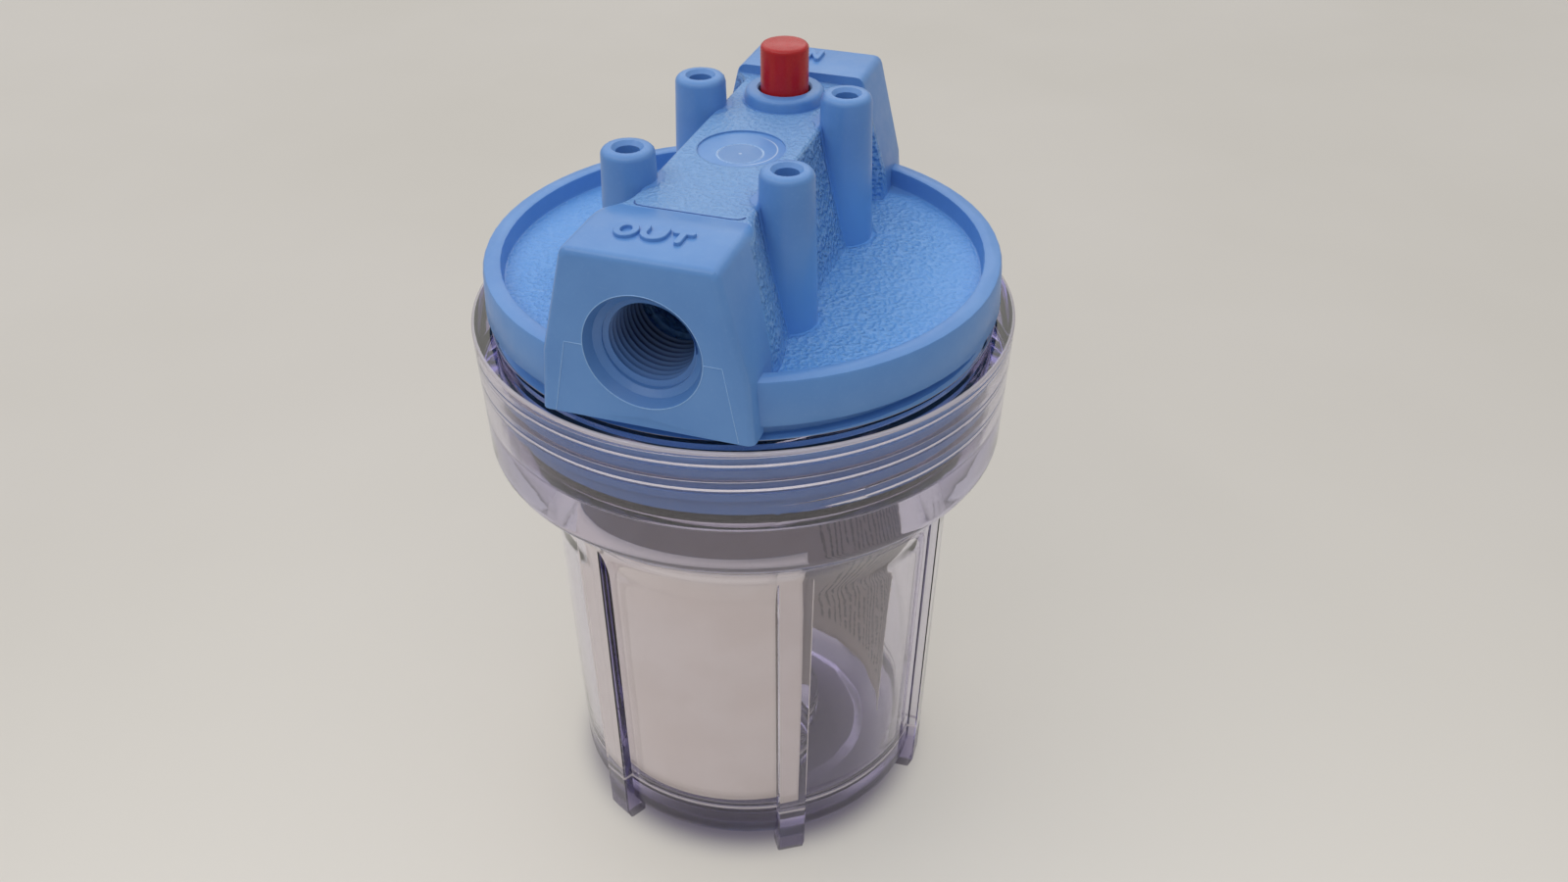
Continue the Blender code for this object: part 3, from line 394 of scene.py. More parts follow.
def clear_plastic(name):
    """Thick clear plastic with a violet cast that grows with its depth, deeper at the base, with painted
    shade in the collar's bore and painted glints on its top edges and above the base.
    """
    s = Shade(name)
    scuffs = s.noise(0.35, 5.0, 0.7, stretch=(1.0, 1.0, 0.12))
    flow = s.noise(0.06, 2.0, 0.4, stretch=(1.0, 1.0, 0.25))
    tint = s.mix(s.ramp(s.noise(0.03, 2.0), 0.3, 0.7), (0.985, 0.975, 0.99, 1.0), (0.96, 0.955, 0.975, 1.0))
    # Deeper violet at the base and feet: partly the colour of the thick plastic there, partly painted shade.
    low = s.ramp(s.z, FLOOR_Z + 0.5, FLOOR_Z + 2.5, 1.0, 0.0)
    tint = s.mix(low, tint, (0.62, 0.57, 0.76, 1.0))
    radius = s.length(s.x, s.y)
    # Painted shade: the collar's bore is tinted dark, standing for the shade on the cap's skirt seen through
    # it.
    bore_shade = s.times(
        s.ramp(radius, COLLAR_BORE + 0.6, COLLAR_BORE + 1.2, 1.0, 0.0),
        s.ramp(s.z, LEDGE_Z + 0.5, LEDGE_Z + 2.5),
        s.ramp(s.z, 136.0, 139.0, 1.0, 0.0),
    )
    tint = s.mix(bore_shade, tint, (0.36, 0.29, 0.38, 1.0))
    # Painted glints: the rim's outer and inner top edges and a band above the base are painted pale and made
    # less clear, standing for highlights along them.
    outer_edge = s.ramp(radius, COLLAR_RADIUS - 0.9, COLLAR_RADIUS - 0.6)
    inner_edge = s.ramp(radius, COLLAR_BORE + 0.8, COLLAR_BORE + 0.5, 0.0, 1.0)
    rim_glint = s.math("MAXIMUM", outer_edge, inner_edge)
    rim_glint = s.times(rim_glint, s.ramp(s.z, BOWL_HEIGHT - 0.9, BOWL_HEIGHT - 0.7))
    painted_glint = s.math("MAXIMUM", rim_glint, s.band(s.z, FLOOR_Z + 4.9, 0.30, 0.25))
    tint = s.mix(painted_glint, tint, (0.78, 0.72, 0.77, 1.0))
    rough = s.ramp(scuffs, 0.45, 0.8, 0.015, 0.07)
    rough = s.add(rough, s.times(low, 0.20))
    s.set(
        Base_Color=tint,
        Roughness=s.add(rough, s.times(bore_shade, 0.05)),
        Normal=s.bump(flow, 0.16, normal=s.bump(s.noise(0.5, 2.0), 0.004)),
        IOR=1.57,
        Transmission_Weight=s.ramp(painted_glint, 0.0, 1.0, 1.0, 0.45),
    )
    inside = s.new("ShaderNodeVolumeAbsorption")
    inside.inputs["Color"].default_value = (0.62, 0.59, 0.79, 1.0)
    inside.inputs["Density"].default_value = 48.0
    s.link(inside.outputs[0], s.output.inputs["Volume"])
    return s.material


def rubber(name, shade=0.018):
    """Black rubber with a dusty bloom and fine texture."""
    s = Shade(name)
    dust = s.ramp(s.noise(0.5, 4.0, 0.7), 0.5, 0.8)
    colour = s.mix(s.times(dust, 0.5), (shade, shade, shade, 1.0), (0.07, 0.07, 0.075, 1.0))
    s.set(Base_Color=colour, Roughness=s.ramp(dust, 0.0, 1.0, 0.38, 0.62))
    s.set(Normal=s.bump(s.noise(2.2, 3.0), 0.03))
    return s.material


def red_plastic(name):
    """Gloss red moulding, faintly rippled and scuffed."""
    s = Shade(name)
    base = s.mix(s.ramp(s.noise(0.12, 3.0), 0.3, 0.7), linear(172, 26, 32), linear(184, 32, 38))
    scuff = s.ramp(s.noise(1.1, 5.0, 0.7), 0.62, 0.75)
    colour = s.mix(s.times(scuff, 0.20), base, linear(206, 92, 90))
    s.set(
        Base_Color=colour,
        Roughness=s.add(s.ramp(s.noise(0.5, 3.0), 0.3, 0.7, 0.20, 0.30), s.times(scuff, 0.2)),
        Normal=s.bump(s.noise(0.5, 2.0), 0.05, normal=s.bump(s.noise(3.0), 0.006)),
        IOR=1.53,
        Specular_IOR_Level=0.3,
    )
    return s.material


def steel(name, tone, rough):
    """Bare steel with drawn streaks."""
    s = Shade(name)
    streaks = s.noise(1.2, 3.0, 0.6, stretch=(1.0, 1.0, 4.0))
    dark = tuple(0.82 * part for part in tone)
    colour = s.mix(streaks, (*dark, 1.0), (*tone, 1.0))
    s.set(Base_Color=colour, Metallic=1.0, Roughness=s.ramp(streaks, 0.3, 0.7, rough, rough + 0.12))
    s.set(Normal=s.bump(streaks, 0.01))
    return s.material


def paper(name, printed):
    """Thin uncoated paper. The printed side carries faint broken grey lines that spell nothing."""
    s = Shade(name)
    fibre = s.noise(1.6, 5.0, 0.7)
    cloud = s.noise(0.06, 3.0, 0.5)
    colour = s.mix(s.ramp(cloud, 0.3, 0.7), linear(218, 206, 202), linear(224, 213, 210))
    # Painted light: the paper is painted paler near its top, offsetting the cap's shade there.
    colour = s.mix(s.ramp(s.z, 94.0, 98.0), colour, linear(244, 236, 234))
    colour = s.mix(s.times(s.ramp(fibre, 0.5, 0.75), 0.25), colour, linear(208, 197, 193))
    if printed:
        sheet = s.new("ShaderNodeSeparateXYZ")
        s.link(s.uv, sheet.inputs[0])
        around = s.add(s.times(sheet.outputs[0], LEAFLET_ARC), s.times(s.z, 0.11))
        row = s.math("FLOOR", s.math("DIVIDE", around, PRINT_ROW))
        across = s.math("FRACT", s.math("DIVIDE", around, PRINT_ROW))
        along = s.new("ShaderNodeCombineXYZ")
        s.put(s.times(row, 7.31), along.inputs[0])
        s.put(s.times(s.z, 0.35), along.inputs[1])
        words = s.noise(1.0, 1.0, 0.4, place=along.outputs[0])
        close = s.new("ShaderNodeCombineXYZ")
        s.put(s.times(row, 3.17), close.inputs[0])
        s.put(s.times(s.z, 1.5), close.inputs[1])
        s.put(s.times(across, 0.8), close.inputs[2])
        marks = s.noise(1.0, 2.0, 0.6, place=close.outputs[0])
        ink = s.times(
            s.band(across, 0.5, 0.14, 0.07),
            s.ramp(words, 0.34, 0.38),
            s.ramp(marks, 0.34, 0.48, 0.35, 1.0),
            s.ramp(s.z, 22.0, 24.0),
            s.ramp(s.z, 91.0, 92.0, 1.0, 0.0),
            s.ramp(sheet.outputs[0], PRINT_FROM, PRINT_FROM + 0.005),
            s.ramp(sheet.outputs[0], 0.985, 0.99, 1.0, 0.0),
            0.62,
        )
        colour = s.mix(ink, colour, linear(84, 82, 88))
    s.set(Base_Color=colour, Roughness=s.ramp(fibre, 0.3, 0.7, 0.78, 0.9), Specular_IOR_Level=0.25)
    s.set(Normal=s.bump(fibre, 0.02, normal=s.bump(s.noise(0.05, 2.0), 0.5)))
    return s.material


# Meshes


def add_object(name, mesh):
    made = bpy.data.objects.new(name, mesh)
    bpy.context.scene.collection.objects.link(made)
    return made


def finish_mesh(mesh, material, angle=35):
    mesh.materials.clear()
    mesh.materials.append(material)
    mesh.shade_smooth()
    mesh.set_sharp_from_angle(angle=math.radians(angle))


def mesh_from(bm, name):
    bmesh.ops.recalc_face_normals(bm, faces=bm.faces)
    mesh = bpy.data.meshes.new(name)
    bm.to_mesh(mesh)
    bm.free()
    return mesh


def rounded(corners, steps, share):
    """Points of an open outline of (a, b, radius) corners, each rounded within a share of its sides."""
    points = []
    count = len(corners)
    for index, (a, b, radius) in enumerate(corners):
        if radius == 0.0 or index in (0, count - 1):
            points.append((a, b))
            continue
        corner = Vector((a, b))
        back = Vector(corners[index - 1][:2]) - corner
        ahead = Vector(corners[index + 1][:2]) - corner
        half = back.angle(ahead) / 2
        reach = min(radius / math.tan(half), share * back.length, share * ahead.length)
        fitted = reach * math.tan(half)
        centre = corner + (back.normalized() + ahead.normalized()).normalized() * fitted / math.sin(half)
        start = corner + back.normalized() * reach - centre
        turn = start.angle_signed(corner + ahead.normalized() * reach - centre)
        for step in range(steps + 1):
            spoke = start.copy()
            spoke.rotate(Matrix.Rotation(-turn * step / steps, 2))
            points.append(tuple(centre + spoke))
    return points


def turned_mesh(name, profile, steps):
    """A closed solid of revolution from (radius, z) points in millimetres that begin and end on the axis."""
    bm = bmesh.new()
    rings = []
    for radius, z in profile:
        if radius < 1e-6:
            rings.append([bm.verts.new((0.0, 0.0, z * MM))])
            continue
        ring = []
        for step in range(steps):
            angle = math.tau * step / steps
            ring.append(bm.verts.new((radius * MM * math.cos(angle), radius * MM * math.sin(angle), z * MM)))
        rings.append(ring)
    for first, second in zip(rings, rings[1:]):
        for step in range(steps):
            after = (step + 1) % steps
            if len(first) == 1:
                bm.faces.new((first[0], second[step], second[after]))
            elif len(second) == 1:
                bm.faces.new((first[step], second[0], first[after]))
            else:
                bm.faces.new((first[step], second[step], second[after], first[after]))
    return mesh_from(bm, name)


def loft_mesh(name, rings):
    """A closed solid through rings of points in metres."""
    bm = bmesh.new()
    rows = [[bm.verts.new(point) for point in ring] for ring in rings]
    count = len(rows[0])
    for row, following in zip(rows, rows[1:]):
        for index in range(count):
            after = (index + 1) % count
            bm.faces.new((row[index], row[after], following[after], following[index]))
    bm.faces.new(rows[0])
    bm.faces.new(rows[-1])
    return mesh_from(bm, name)


def torus_mesh(name, radius, section, centre, steps, around):
    bm = bmesh.new()
    rings = []
    for step in range(steps):
        angle = math.tau * step / steps
        ring = []
        for index in range(around):
            turn = math.tau * index / around
            reach = radius + section / 2 * math.cos(turn)
            ring.append(
                bm.verts.new(
                    (
                        (centre[0] + reach * math.cos(angle)) * MM,
                        (centre[1] + reach * math.sin(angle)) * MM,
                        (centre[2] + section / 2 * math.sin(turn)) * MM,
                    )
                )
            )
        rings.append(ring)
    for step in range(steps):
        for index in range(around):
            after = (index + 1) % around
            following = rings[(step + 1) % steps]
            bm.faces.new((rings[step][index], following[index], following[after], rings[step][after]))
    return mesh_from(bm, name)


def union(target, tools):
    """The target's mesh joined with the tools by exact Booleans."""
    for tool in tools:
        made = target.modifiers.new(tool.name, "BOOLEAN")
        made.operation = "UNION"
        made.solver = "EXACT"
        made.object = tool
    graph = bpy.context.evaluated_depsgraph_get()
    mesh = bpy.data.meshes.new_from_object(target.evaluated_get(graph))
    target.modifiers.clear()
    target.data = mesh
    for tool in tools:
        bpy.data.objects.remove(tool, do_unlink=True)
    return mesh


def welded_copy(node, name, material, angle=32, bevel=None):
    """A copy of a CAD node's mesh, with its split corners welded, shaded smooth and its edges eased."""
    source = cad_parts[node]
    mesh = source.data.copy()
    mesh.name = name
    bm = bmesh.new()
    bm.from_mesh(mesh)
    bmesh.ops.remove_doubles(bm, verts=bm.verts, dist=0.0000015)
    bmesh.ops.dissolve_limit(bm, angle_limit=math.radians(0.4), verts=bm.verts, edges=bm.edges)
    bm.to_mesh(mesh)
    bm.free()
    if "custom_normal" in mesh.attributes:
        mesh.attributes.remove(mesh.attributes["custom_normal"])
    made = add_object(name, mesh)
    finish_mesh(mesh, material, angle)
    if bevel:
        ease = made.modifiers.new("eased_edges", "BEVEL")
        ease.width = bevel * MM
        ease.segments = 2
        ease.limit_method = "ANGLE"
        ease.angle_limit = math.radians(angle)
        ease.use_clamp_overlap = True
        ease.harden_normals = False
        ease.miter_outer = "MITER_ARC"
    return made


def tube(name, paths, radius, material, sides):
    """Round wires along (points, closed) paths in millimetres, as one mesh."""
    curve = bpy.data.curves.new(name, "CURVE")
    curve.dimensions = "3D"
    curve.bevel_depth = radius * MM
    curve.bevel_resolution = sides
    curve.use_fill_caps = True
    for points, closed in paths:
        line = curve.splines.new("POLY")
        line.points.add(len(points) - 1)
        for target, point in zip(line.points, points):
            target.co = (point[0] * MM, point[1] * MM, point[2] * MM, 1.0)
        line.use_cyclic_u = closed
    holder = add_object(name + "_path", curve)
    graph = bpy.context.evaluated_depsgraph_get()
    mesh = bpy.data.meshes.new_from_object(holder.evaluated_get(graph))
    bpy.data.objects.remove(holder, do_unlink=True)
    mesh.name = name
    made = add_object(name, mesh)
    finish_mesh(mesh, material, 50)
    return made


# Bowl


def body_radius(z):
    share = (z - FOOT_HEIGHT) / (BODY_TOP_Z - FOOT_HEIGHT)
    return BODY_BASE_RADIUS + (BODY_TOP_RADIUS - BODY_BASE_RADIUS) * share


def bowl_profile():
    """Half section of the bowl from the middle of its floor over the collar to the middle of its base."""
    flare_z = BODY_TOP_Z - FLARE / 3
    throat_z = BODY_TOP_Z + FLARE / 4
    seat_inner = SEAT_RING_RADIUS - SEAT_RING_WALL
    seat_z = FLOOR_Z + SEAT_RING_HEIGHT
    ring = BODY_BASE_RADIUS - 14.0
    soft = 0.35
    return rounded(
        [
            (0.0, FLOOR_Z, 0.0),
            (seat_inner, FLOOR_Z, soft),
            (seat_inner, seat_z, soft),
            (SEAT_RING_RADIUS - 0.45, seat_z, soft),
            (SEAT_RING_RADIUS, FLOOR_Z, soft),
            (body_radius(FLOOR_Z) - BODY_WALL, FLOOR_Z, 6.4),
            (body_radius(flare_z) - BODY_WALL, flare_z, FLARE),
            (THROAT_RADIUS, throat_z, FLARE / 2),
            (THROAT_RADIUS, LEDGE_Z, soft),
            (GROOVE_INNER, LEDGE_Z, soft),
            (GROOVE_INNER, GROOVE_Z, soft),
            (GROOVE_OUTER, GROOVE_Z, soft),
            (GROOVE_OUTER, LEDGE_Z, soft),
            (COLLAR_BORE, LEDGE_Z, soft),
            (COLLAR_BORE, BOWL_HEIGHT - 0.5, 0.0),
            (COLLAR_BORE + 0.5, BOWL_HEIGHT, 0.0),
            (COLLAR_RADIUS, BOWL_HEIGHT, 0.53),
            (COLLAR_RADIUS - COLLAR_DRAFT, BOWL_HEIGHT - COLLAR_HEIGHT, COLLAR_FOOT_EDGE),
            (BODY_TOP_RADIUS, BODY_TOP_Z, FLARE),
            (BODY_BASE_RADIUS, FOOT_HEIGHT, 5.0),
            (ring, FOOT_HEIGHT, 0.5),
            (ring - 2.5, FOOT_HEIGHT + 2.5, 0.5),
            (0.0, FOOT_HEIGHT + 2.5, 0.0),
        ],
        steps=8,
        share=0.62,
    )


def ridge_rings(wall, crest, low_z, high_z, steps):
    """Rings of the helical ridge that stands inwards from a wall, faded out at both ends."""
    root = wall + 0.6
    half_base, half_crest = 1.7, 0.85
    start = math.tau * (low_z + half_base - LEDGE_Z) / THREAD_PITCH
    stop = math.tau * (high_z - half_base - LEDGE_Z) / THREAD_PITCH
    count = math.ceil((stop - start) / math.tau * steps)
    rings = []
    for index in range(count + 1):
        angle = start + (stop - start) * index / count
        middle = LEDGE_Z + THREAD_PITCH * angle / math.tau
        fade = min(1.0, (angle - start) / math.radians(30), (stop - angle) / math.radians(30))
        top = root + (crest - root) * (0.04 + 0.96 * fade)
        eased = top - (top - root) * 0.10
        flank = [
            (root, -half_base),
            (eased, -half_crest - 0.12),
            (top, -half_crest + 0.22),
            (top, half_crest - 0.22),
            (eased, half_crest + 0.12),
            (root, half_base),
        ]
        ring = []
        for radius, rise in flank:
            ring.append((radius * math.cos(angle) * MM, radius * math.sin(angle) * MM, (middle + rise) * MM))
        rings.append(ring)
    return rings


def make_bowl():
    """The clear bowl, finer than its solid: walls, ribs, seat and thread in one skin."""
    clear = clear_plastic("clear_plastic_look")
    bowl = add_object("bowl_clear", turned_mesh("bowl_clear", bowl_profile(), 240))
    tools = []
    for index in range(6):
        outer = rib_rings(index)
        tools.append(add_object(f"rib_tool_{index}", loft_mesh(f"rib_tool_{index}", outer)))
    half = SEAT_RING_WALL / 2
    reach = SEAT_RING_RADIUS - half
    outline = []
    for quarter in range(4):
        turn = Matrix.Rotation(quarter * math.pi / 2, 3, "Z")
        for x, y in ((half, half), (half, reach), (-half, reach)):
            outline.append(turn @ Vector((x * MM, y * MM, 0.0)))
    web_top = FLOOR_Z + SEAT_RING_HEIGHT - SEAT_RING_WALL
    levels = [Vector((0, 0, z * MM)) for z in (FLOOR_Z - 0.7, web_top)]
    web = [[point + level for point in outline] for level in levels]
    tools.append(add_object("web_tool", loft_mesh("web_tool", web)))
    thread = ridge_rings(COLLAR_BORE, FEMALE_CREST, LEDGE_Z + 3.4, BOWL_HEIGHT - 0.5, 120)
    tools.append(add_object("thread_tool", loft_mesh("thread_tool", thread)))
    mesh = union(bowl, tools)
    finish_mesh(mesh, clear, 30)
    # Lamps reach the paper and the floor unshaded, as if the clear wall passed all their light
    bowl.visible_shadow = False
    bowl.visible_diffuse = False
    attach(bowl, "bowl")
    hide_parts("bowl")


def rib_rings(index):
    """Rings of one rib across its width, with eased outer edges."""
    turn = Matrix.Rotation(math.radians(2.3) + math.tau * index / 6, 3, "Z")
    proud = 2.4
    ease = 0.3
    top = BODY_TOP_Z + 0.07 * FLARE
    bend = BODY_TOP_Z - 0.38 * FLARE
    foot_radius = BODY_BASE_RADIUS + proud - 1.3
    outline = [
        (foot_radius, 0.0),
        (body_radius(FOOT_HEIGHT) + proud, 3.0),
        (body_radius(top) + proud, top),
        (body_radius(top) + proud - 1.05, top),
        (body_radius(bend) - 1.5, bend),
        (body_radius(23.0) - 1.5, 14.95),
        (foot_radius - 4.5, 8.05),
        (foot_radius - 4.5, 0.0),
    ]
    rings = []
    for side, edge in ((-1.0, True), (-1.0, False), (1.0, False), (1.0, True)):
        ring = []
        for number, (radius, z) in enumerate(outline):
            width = 7.0 + 1.8 * z / BODY_TOP_Z
            y = side * (width / 2 - (0.0 if edge else ease))
            back = ease if edge and number < 3 else 0.0
            lift = ease if edge and number in (0, 7) else 0.0
            drop = ease if edge and number in (2, 3) else 0.0
            ring.append(turn @ Vector(((radius - back) * MM, y * MM, (z + lift - drop) * MM)))
        rings.append(ring)
    return rings


def make_seal():
    """The O-ring in its groove."""
    mesh = torus_mesh("bowl_seal_ring", SEAL_RADIUS, SEAL_SECTION, (0, 0, SEAL_Z), 180, 28)
    ring = add_object("bowl_seal_ring", mesh)
    finish_mesh(ring.data, rubber("black_rubber_look"), 60)
    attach(ring, "seal_ring")
    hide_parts("bowl_o_ring")


# Cap


def arc(centre, radius_x, radius_y, start, end, steps):
    """Points of an elliptic arc in a level plane."""
    points = []
    for step in range(steps + 1):
        angle = math.radians(start + (end - start) * step / steps)
        points.append((centre[0] + radius_x * math.cos(angle), centre[1] + radius_y * math.sin(angle)))
    return points


def letter_strokes():
    """The strokes of the two generic port words, seen from above."""
    low_u = -50.35
    cup = arc((-0.55, low_u), 2.15, 2.15, 180, 360, 12)
    out = {
        "O": [arc((-6.5, -50.5), 1.9, 2.35, 0, 180, 16), arc((-6.5, -50.5), 1.9, 2.35, 180, 360, 16)],
        "U": [[(-2.7, -48.2), (-2.7, low_u)] + cup[1:] + [(1.6, -48.2)]],
        "T": [[(3.6, -48.5), (7.1, -48.5)], [(5.35, -48.5), (5.35, -52.6)]],
    }
    inlet = {
        "I": [[(-3.4, 51.4), (-3.4, 56.2)]],
        "N": [[(-0.9, 51.4), (-0.9, 56.2)], [(-0.9, 56.2), (1.7, 51.4)], [(1.7, 51.4), (1.7, 56.2)]],
    }
    return out, inlet


def stroke_rings(path, half):
    """Rings of one flat topped stroke with rounded ends, standing on a port block."""
    points = [Vector(point) for point in path]
    first = (points[0] - points[1]).normalized()
    last = (points[-1] - points[-2]).normalized()
    spine = [(points[0] + first * half * out, wide) for out, wide in ((0.95, 0.35), (0.70, 0.75))]
    spine += [(point, 1.0) for point in points]
    spine += [(points[-1] + last * half * out, wide) for out, wide in ((0.70, 0.75), (0.95, 0.35))]
    low, top, ease = BLOCK_Z - 0.3, BLOCK_Z + LETTER_HEIGHT, 0.14
    rings = []
    for number, (point, wide) in enumerate(spine):
        before = spine[max(number - 1, 0)][0]
        after = spine[min(number + 1, len(spine) - 1)][0]
        along = (after - before).normalized()
        side = Vector((-along.y, along.x))
        reach = half * wide
        inset = max(reach - ease, 0.3 * reach)
        ring = []
        for out, z in ((reach + 0.1, low), (reach, top - ease), (inset, top)):
            ring.append(((point.x + side.x * out) * MM, (point.y + side.y * out) * MM, z * MM))
        for out, z in ((-inset, top), (-reach, top - ease), (-reach - 0.1, low)):
            ring.append(((point.x + side.x * out) * MM, (point.y + side.y * out) * MM, z * MM))
        rings.append(ring)
    return rings


def port_thread(side):
    """Rings of the taper pipe thread inside one port."""
    pitch = 1.814
    begin, finish = PORT_THREAD_START + 0.3, 22.6
    steps = 64
    turns = (finish - begin) / pitch
    count = math.ceil(turns * steps)
    rings = []
    for index in range(count + 1):
        turn = math.tau * turns * index / count
        depth = begin + (finish - begin) * index / count
        wall = PORT_THREAD_RADIUS - 0.6 * depth / 23.6
        fade = min(1.0, turn / math.radians(80), (math.tau * turns - turn) / math.radians(80))
        crest = wall - 1.12 * (0.05 + 0.95 * fade)
        ring = []
        for radius, shift in ((wall + 0.22, -0.88), (crest, -0.10), (crest, 0.10), (wall + 0.22, 0.88)):
            y = side * (PORT_REACH - depth - shift)
            ring.append((radius * math.cos(turn) * MM, y * MM, (PORT_Z + radius * math.sin(turn)) * MM))
        rings.append(ring)
    return rings


def port_circle(radius, y):
    """Points of a circle about a port's axis."""
    turns = (math.tau * step / 72 for step in range(72))
    return [(radius * math.cos(turn), y, PORT_Z + radius * math.sin(turn)) for turn in turns]


def sharpen_ports(mesh):
    """Keep the shallow edges of both port mouths crisp."""
    bm = bmesh.new()
    bm.from_mesh(mesh)
    reach = (PORT_REACH - PORT_THREAD_START - 0.2) * MM
    wide = (PORT_MOUTH_RADIUS + 0.4) * MM
    for edge in bm.edges:
        ends = [vert.co for vert in edge.verts]
        near = all(abs(end.y) > reach and math.hypot(end.x, end.z - PORT_Z * MM) < wide for end in ends)
        if near and edge.calc_face_angle(0.0) > math.radians(14):
            edge.smooth = False
    bm.to_mesh(mesh)
    bm.free()


def make_cap():
    """The blue cap and what is too fine for its solid: letters, pipe threads, gate ring, lines, and a dark
    bead of painted shade along the panel's crease.
    """
    blue = blue_plastic("blue_plastic_look")
    plain = blue_plastic("blue_plain_look", grained=False)
    pale = witness_plastic("mould_line_look")
    cap = welded_copy("cap", "cap_moulding", blue, angle=32, bevel=0.28)
    sharpen_ports(cap.data)
    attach(cap, "cap")
    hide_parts("cap")
    out, inlet = letter_strokes()
    made = []
    for name, letters, half in (("out", out, 0.74), ("in", inlet, 0.60)):
        for letter, strokes in letters.items():
            label = f"letter_{name}_{letter}"
            parts = []
            for number, path in enumerate(strokes):
                parts.append(add_object(f"{label}_{number}", loft_mesh(label, stroke_rings(path, half))))
            if parts[1:]:
                union(parts[0], parts[1:])
            finish_mesh(parts[0].data, plain, 30)
            made.append(parts[0])
    for name, side in (("pipe_thread_out", -1.0), ("pipe_thread_in", 1.0)):
        thread = add_object(name, loft_mesh(name, port_thread(side)))
        finish_mesh(thread.data, plain, 40)
        made.append(thread)
    gate_mesh = torus_mesh("gate_ring", GATE_RING_RADIUS, 0.24, (GATE_X, GATE_Y, GATE_Z), 96, 8)
    ring = add_object("gate_ring", gate_mesh)
    finish_mesh(ring.data, pale, 60)
    made.append(ring)
    face = -PORT_REACH
    lines = [(port_circle(PORT_MOUTH_RADIUS, face), True)]
    for side in (-1.0, 1.0):
        beside = (side * PORT_MOUTH_RADIUS, face, MOULD_LINE_Z)
        corner = (side * 17.4, face, MOULD_LINE_Z)
        lines.append(([beside, corner, (side * 20.6, face, 144.9)], False))
    made.append(tube("mould_lines", lines, 0.11, pale, sides=2))
    # A thin dark bead along the panel's crease, painted shade for the shadow that falls there.
    crease = []
    for x, y in PANEL_CREASE:
        found, place, _, _ = cap.ray_cast(Vector((x * MM, y * MM, 0.25)), Vector((0.0, 0.0, -1.0)))
        if found:
            crease.append((x, y, place.z / MM + 0.02))
    made.append(tube("panel_crease_shade", [(crease, False)], 0.19, crease_shade_plastic("crease_shade_look"), sides=2))
    for piece in made:
        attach(piece, "cap")


# Relief valve and leaflet


def make_relief():
    """Button, screw, seal and spring of the relief valve."""
    button = welded_copy("relief_button", "button_red", red_plastic("red_plastic_look"), angle=40)
    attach(button, "relief_valve")
    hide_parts("relief_button")
    screw = welded_copy("relief_screw", "screw_steel", steel("screw_steel_look", (0.60, 0.60, 0.62), 0.22))
    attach(screw, "relief_valve")
    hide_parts("relief_screw")
    low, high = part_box("relief_seal")
    middle = (low + high) / 2 / MM
    seal = add_object("relief_seal_ring", torus_mesh("relief_seal_ring", 2.7, 2.2, middle, 48, 16))
    finish_mesh(seal.data, rubber("seal_rubber_look", 0.02), 60)
    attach(seal, "relief_valve")
    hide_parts("relief_seal")

    turns, per_turn, wire, radius = 6.5, 28, 0.8, 3.7
    low_z = SPRING_LOW_Z + 0.3 + wire / 2
    high_z = SPRING_HIGH_Z - 0.3 - wire / 2
    points = []
    for index in range(round(turns * per_turn) + 1):
        turn = index / per_turn
        share = min(1.0, max(0.0, (turn - 0.8) / (turns - 1.6)))
        rise = share * share * (3.0 - 2.0 * share)
        end_turns = min(turn, turns - turn, 1.0)
        lift = wire * 0.5 * end_turns * (1.0 if turn < turns / 2 else -1.0)
        z = low_z + (high_z - low_z) * rise + lift * (1.0 - abs(2.0 * rise - 1.0))
        angle = math.tau * turn
        points.append((radius * math.cos(angle), RELIEF_Y + radius * math.sin(angle), z))
    coil = steel("spring_steel_look", (0.55, 0.55, 0.57), 0.25)
    spring = tube("relief_coil", [(points, False)], wire / 2, coil, sides=3)
    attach(spring, "cap")
    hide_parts("relief_spring")
    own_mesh(spring)


def make_leaflet():
    """The leaflet rolled loosely inside the bowl, with the waviness of thin paper."""
    columns, rows = 240, 24
    lean = math.radians(LEAFLET_LEAN)
    middle = (LEAFLET_OFFSET * math.cos(lean), LEAFLET_OFFSET * math.sin(lean))
    bm = bmesh.new()
    grid = []
    for row in range(rows + 1):
        level = row / rows
        z = LEAFLET_LOW_Z + LEAFLET_HEIGHT * level
        radius = min(body_radius(z) - BODY_WALL, THROAT_RADIUS) - LEAFLET_PLAY
        line = []
        for column in range(columns + 1):
            share = column / columns
            angle = math.radians(LEAFLET_START + LEAFLET_SWEEP * share)
            wave = 0.10 * math.sin(9.0 * share + 2.0 * level) + 0.06 * math.sin(23.0 * share + 5.0 * level)
            reach = radius * (1.0 - 0.03 * share) + wave * math.sin(math.pi * level) - 0.12
            x = middle[0] + reach * math.cos(angle)
            y = middle[1] + reach * math.sin(angle)
            line.append(bm.verts.new((x * MM, y * MM, z * MM)))
        grid.append(line)
    sheet = bm.loops.layers.uv.new("sheet")
    for row, (low, high) in enumerate(zip(grid, grid[1:])):
        for index in range(columns):
            face = bm.faces.new((low[index], low[index + 1], high[index + 1], high[index]))
            places = ((index, row), (index + 1, row), (index + 1, row + 1), (index, row + 1))
            for corner, (across, up) in zip(face.loops, places):
                corner[sheet].uv = (across / columns, up / rows)
    leaflet = add_object("leaflet_sheet", mesh_from(bm, "leaflet_sheet"))
    leaflet.data.materials.append(paper("paper_plain_look", False))
    leaflet.data.materials.append(paper("paper_printed_look", True))
    leaflet.data.shade_smooth()
    shell = leaflet.modifiers.new("sheet", "SOLIDIFY")
    shell.thickness = PAPER_THICKNESS * MM
    shell.offset = 0.0
    shell.material_offset = 1
    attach(leaflet, "bowl")
    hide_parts("instruction_leaflet")


# Room


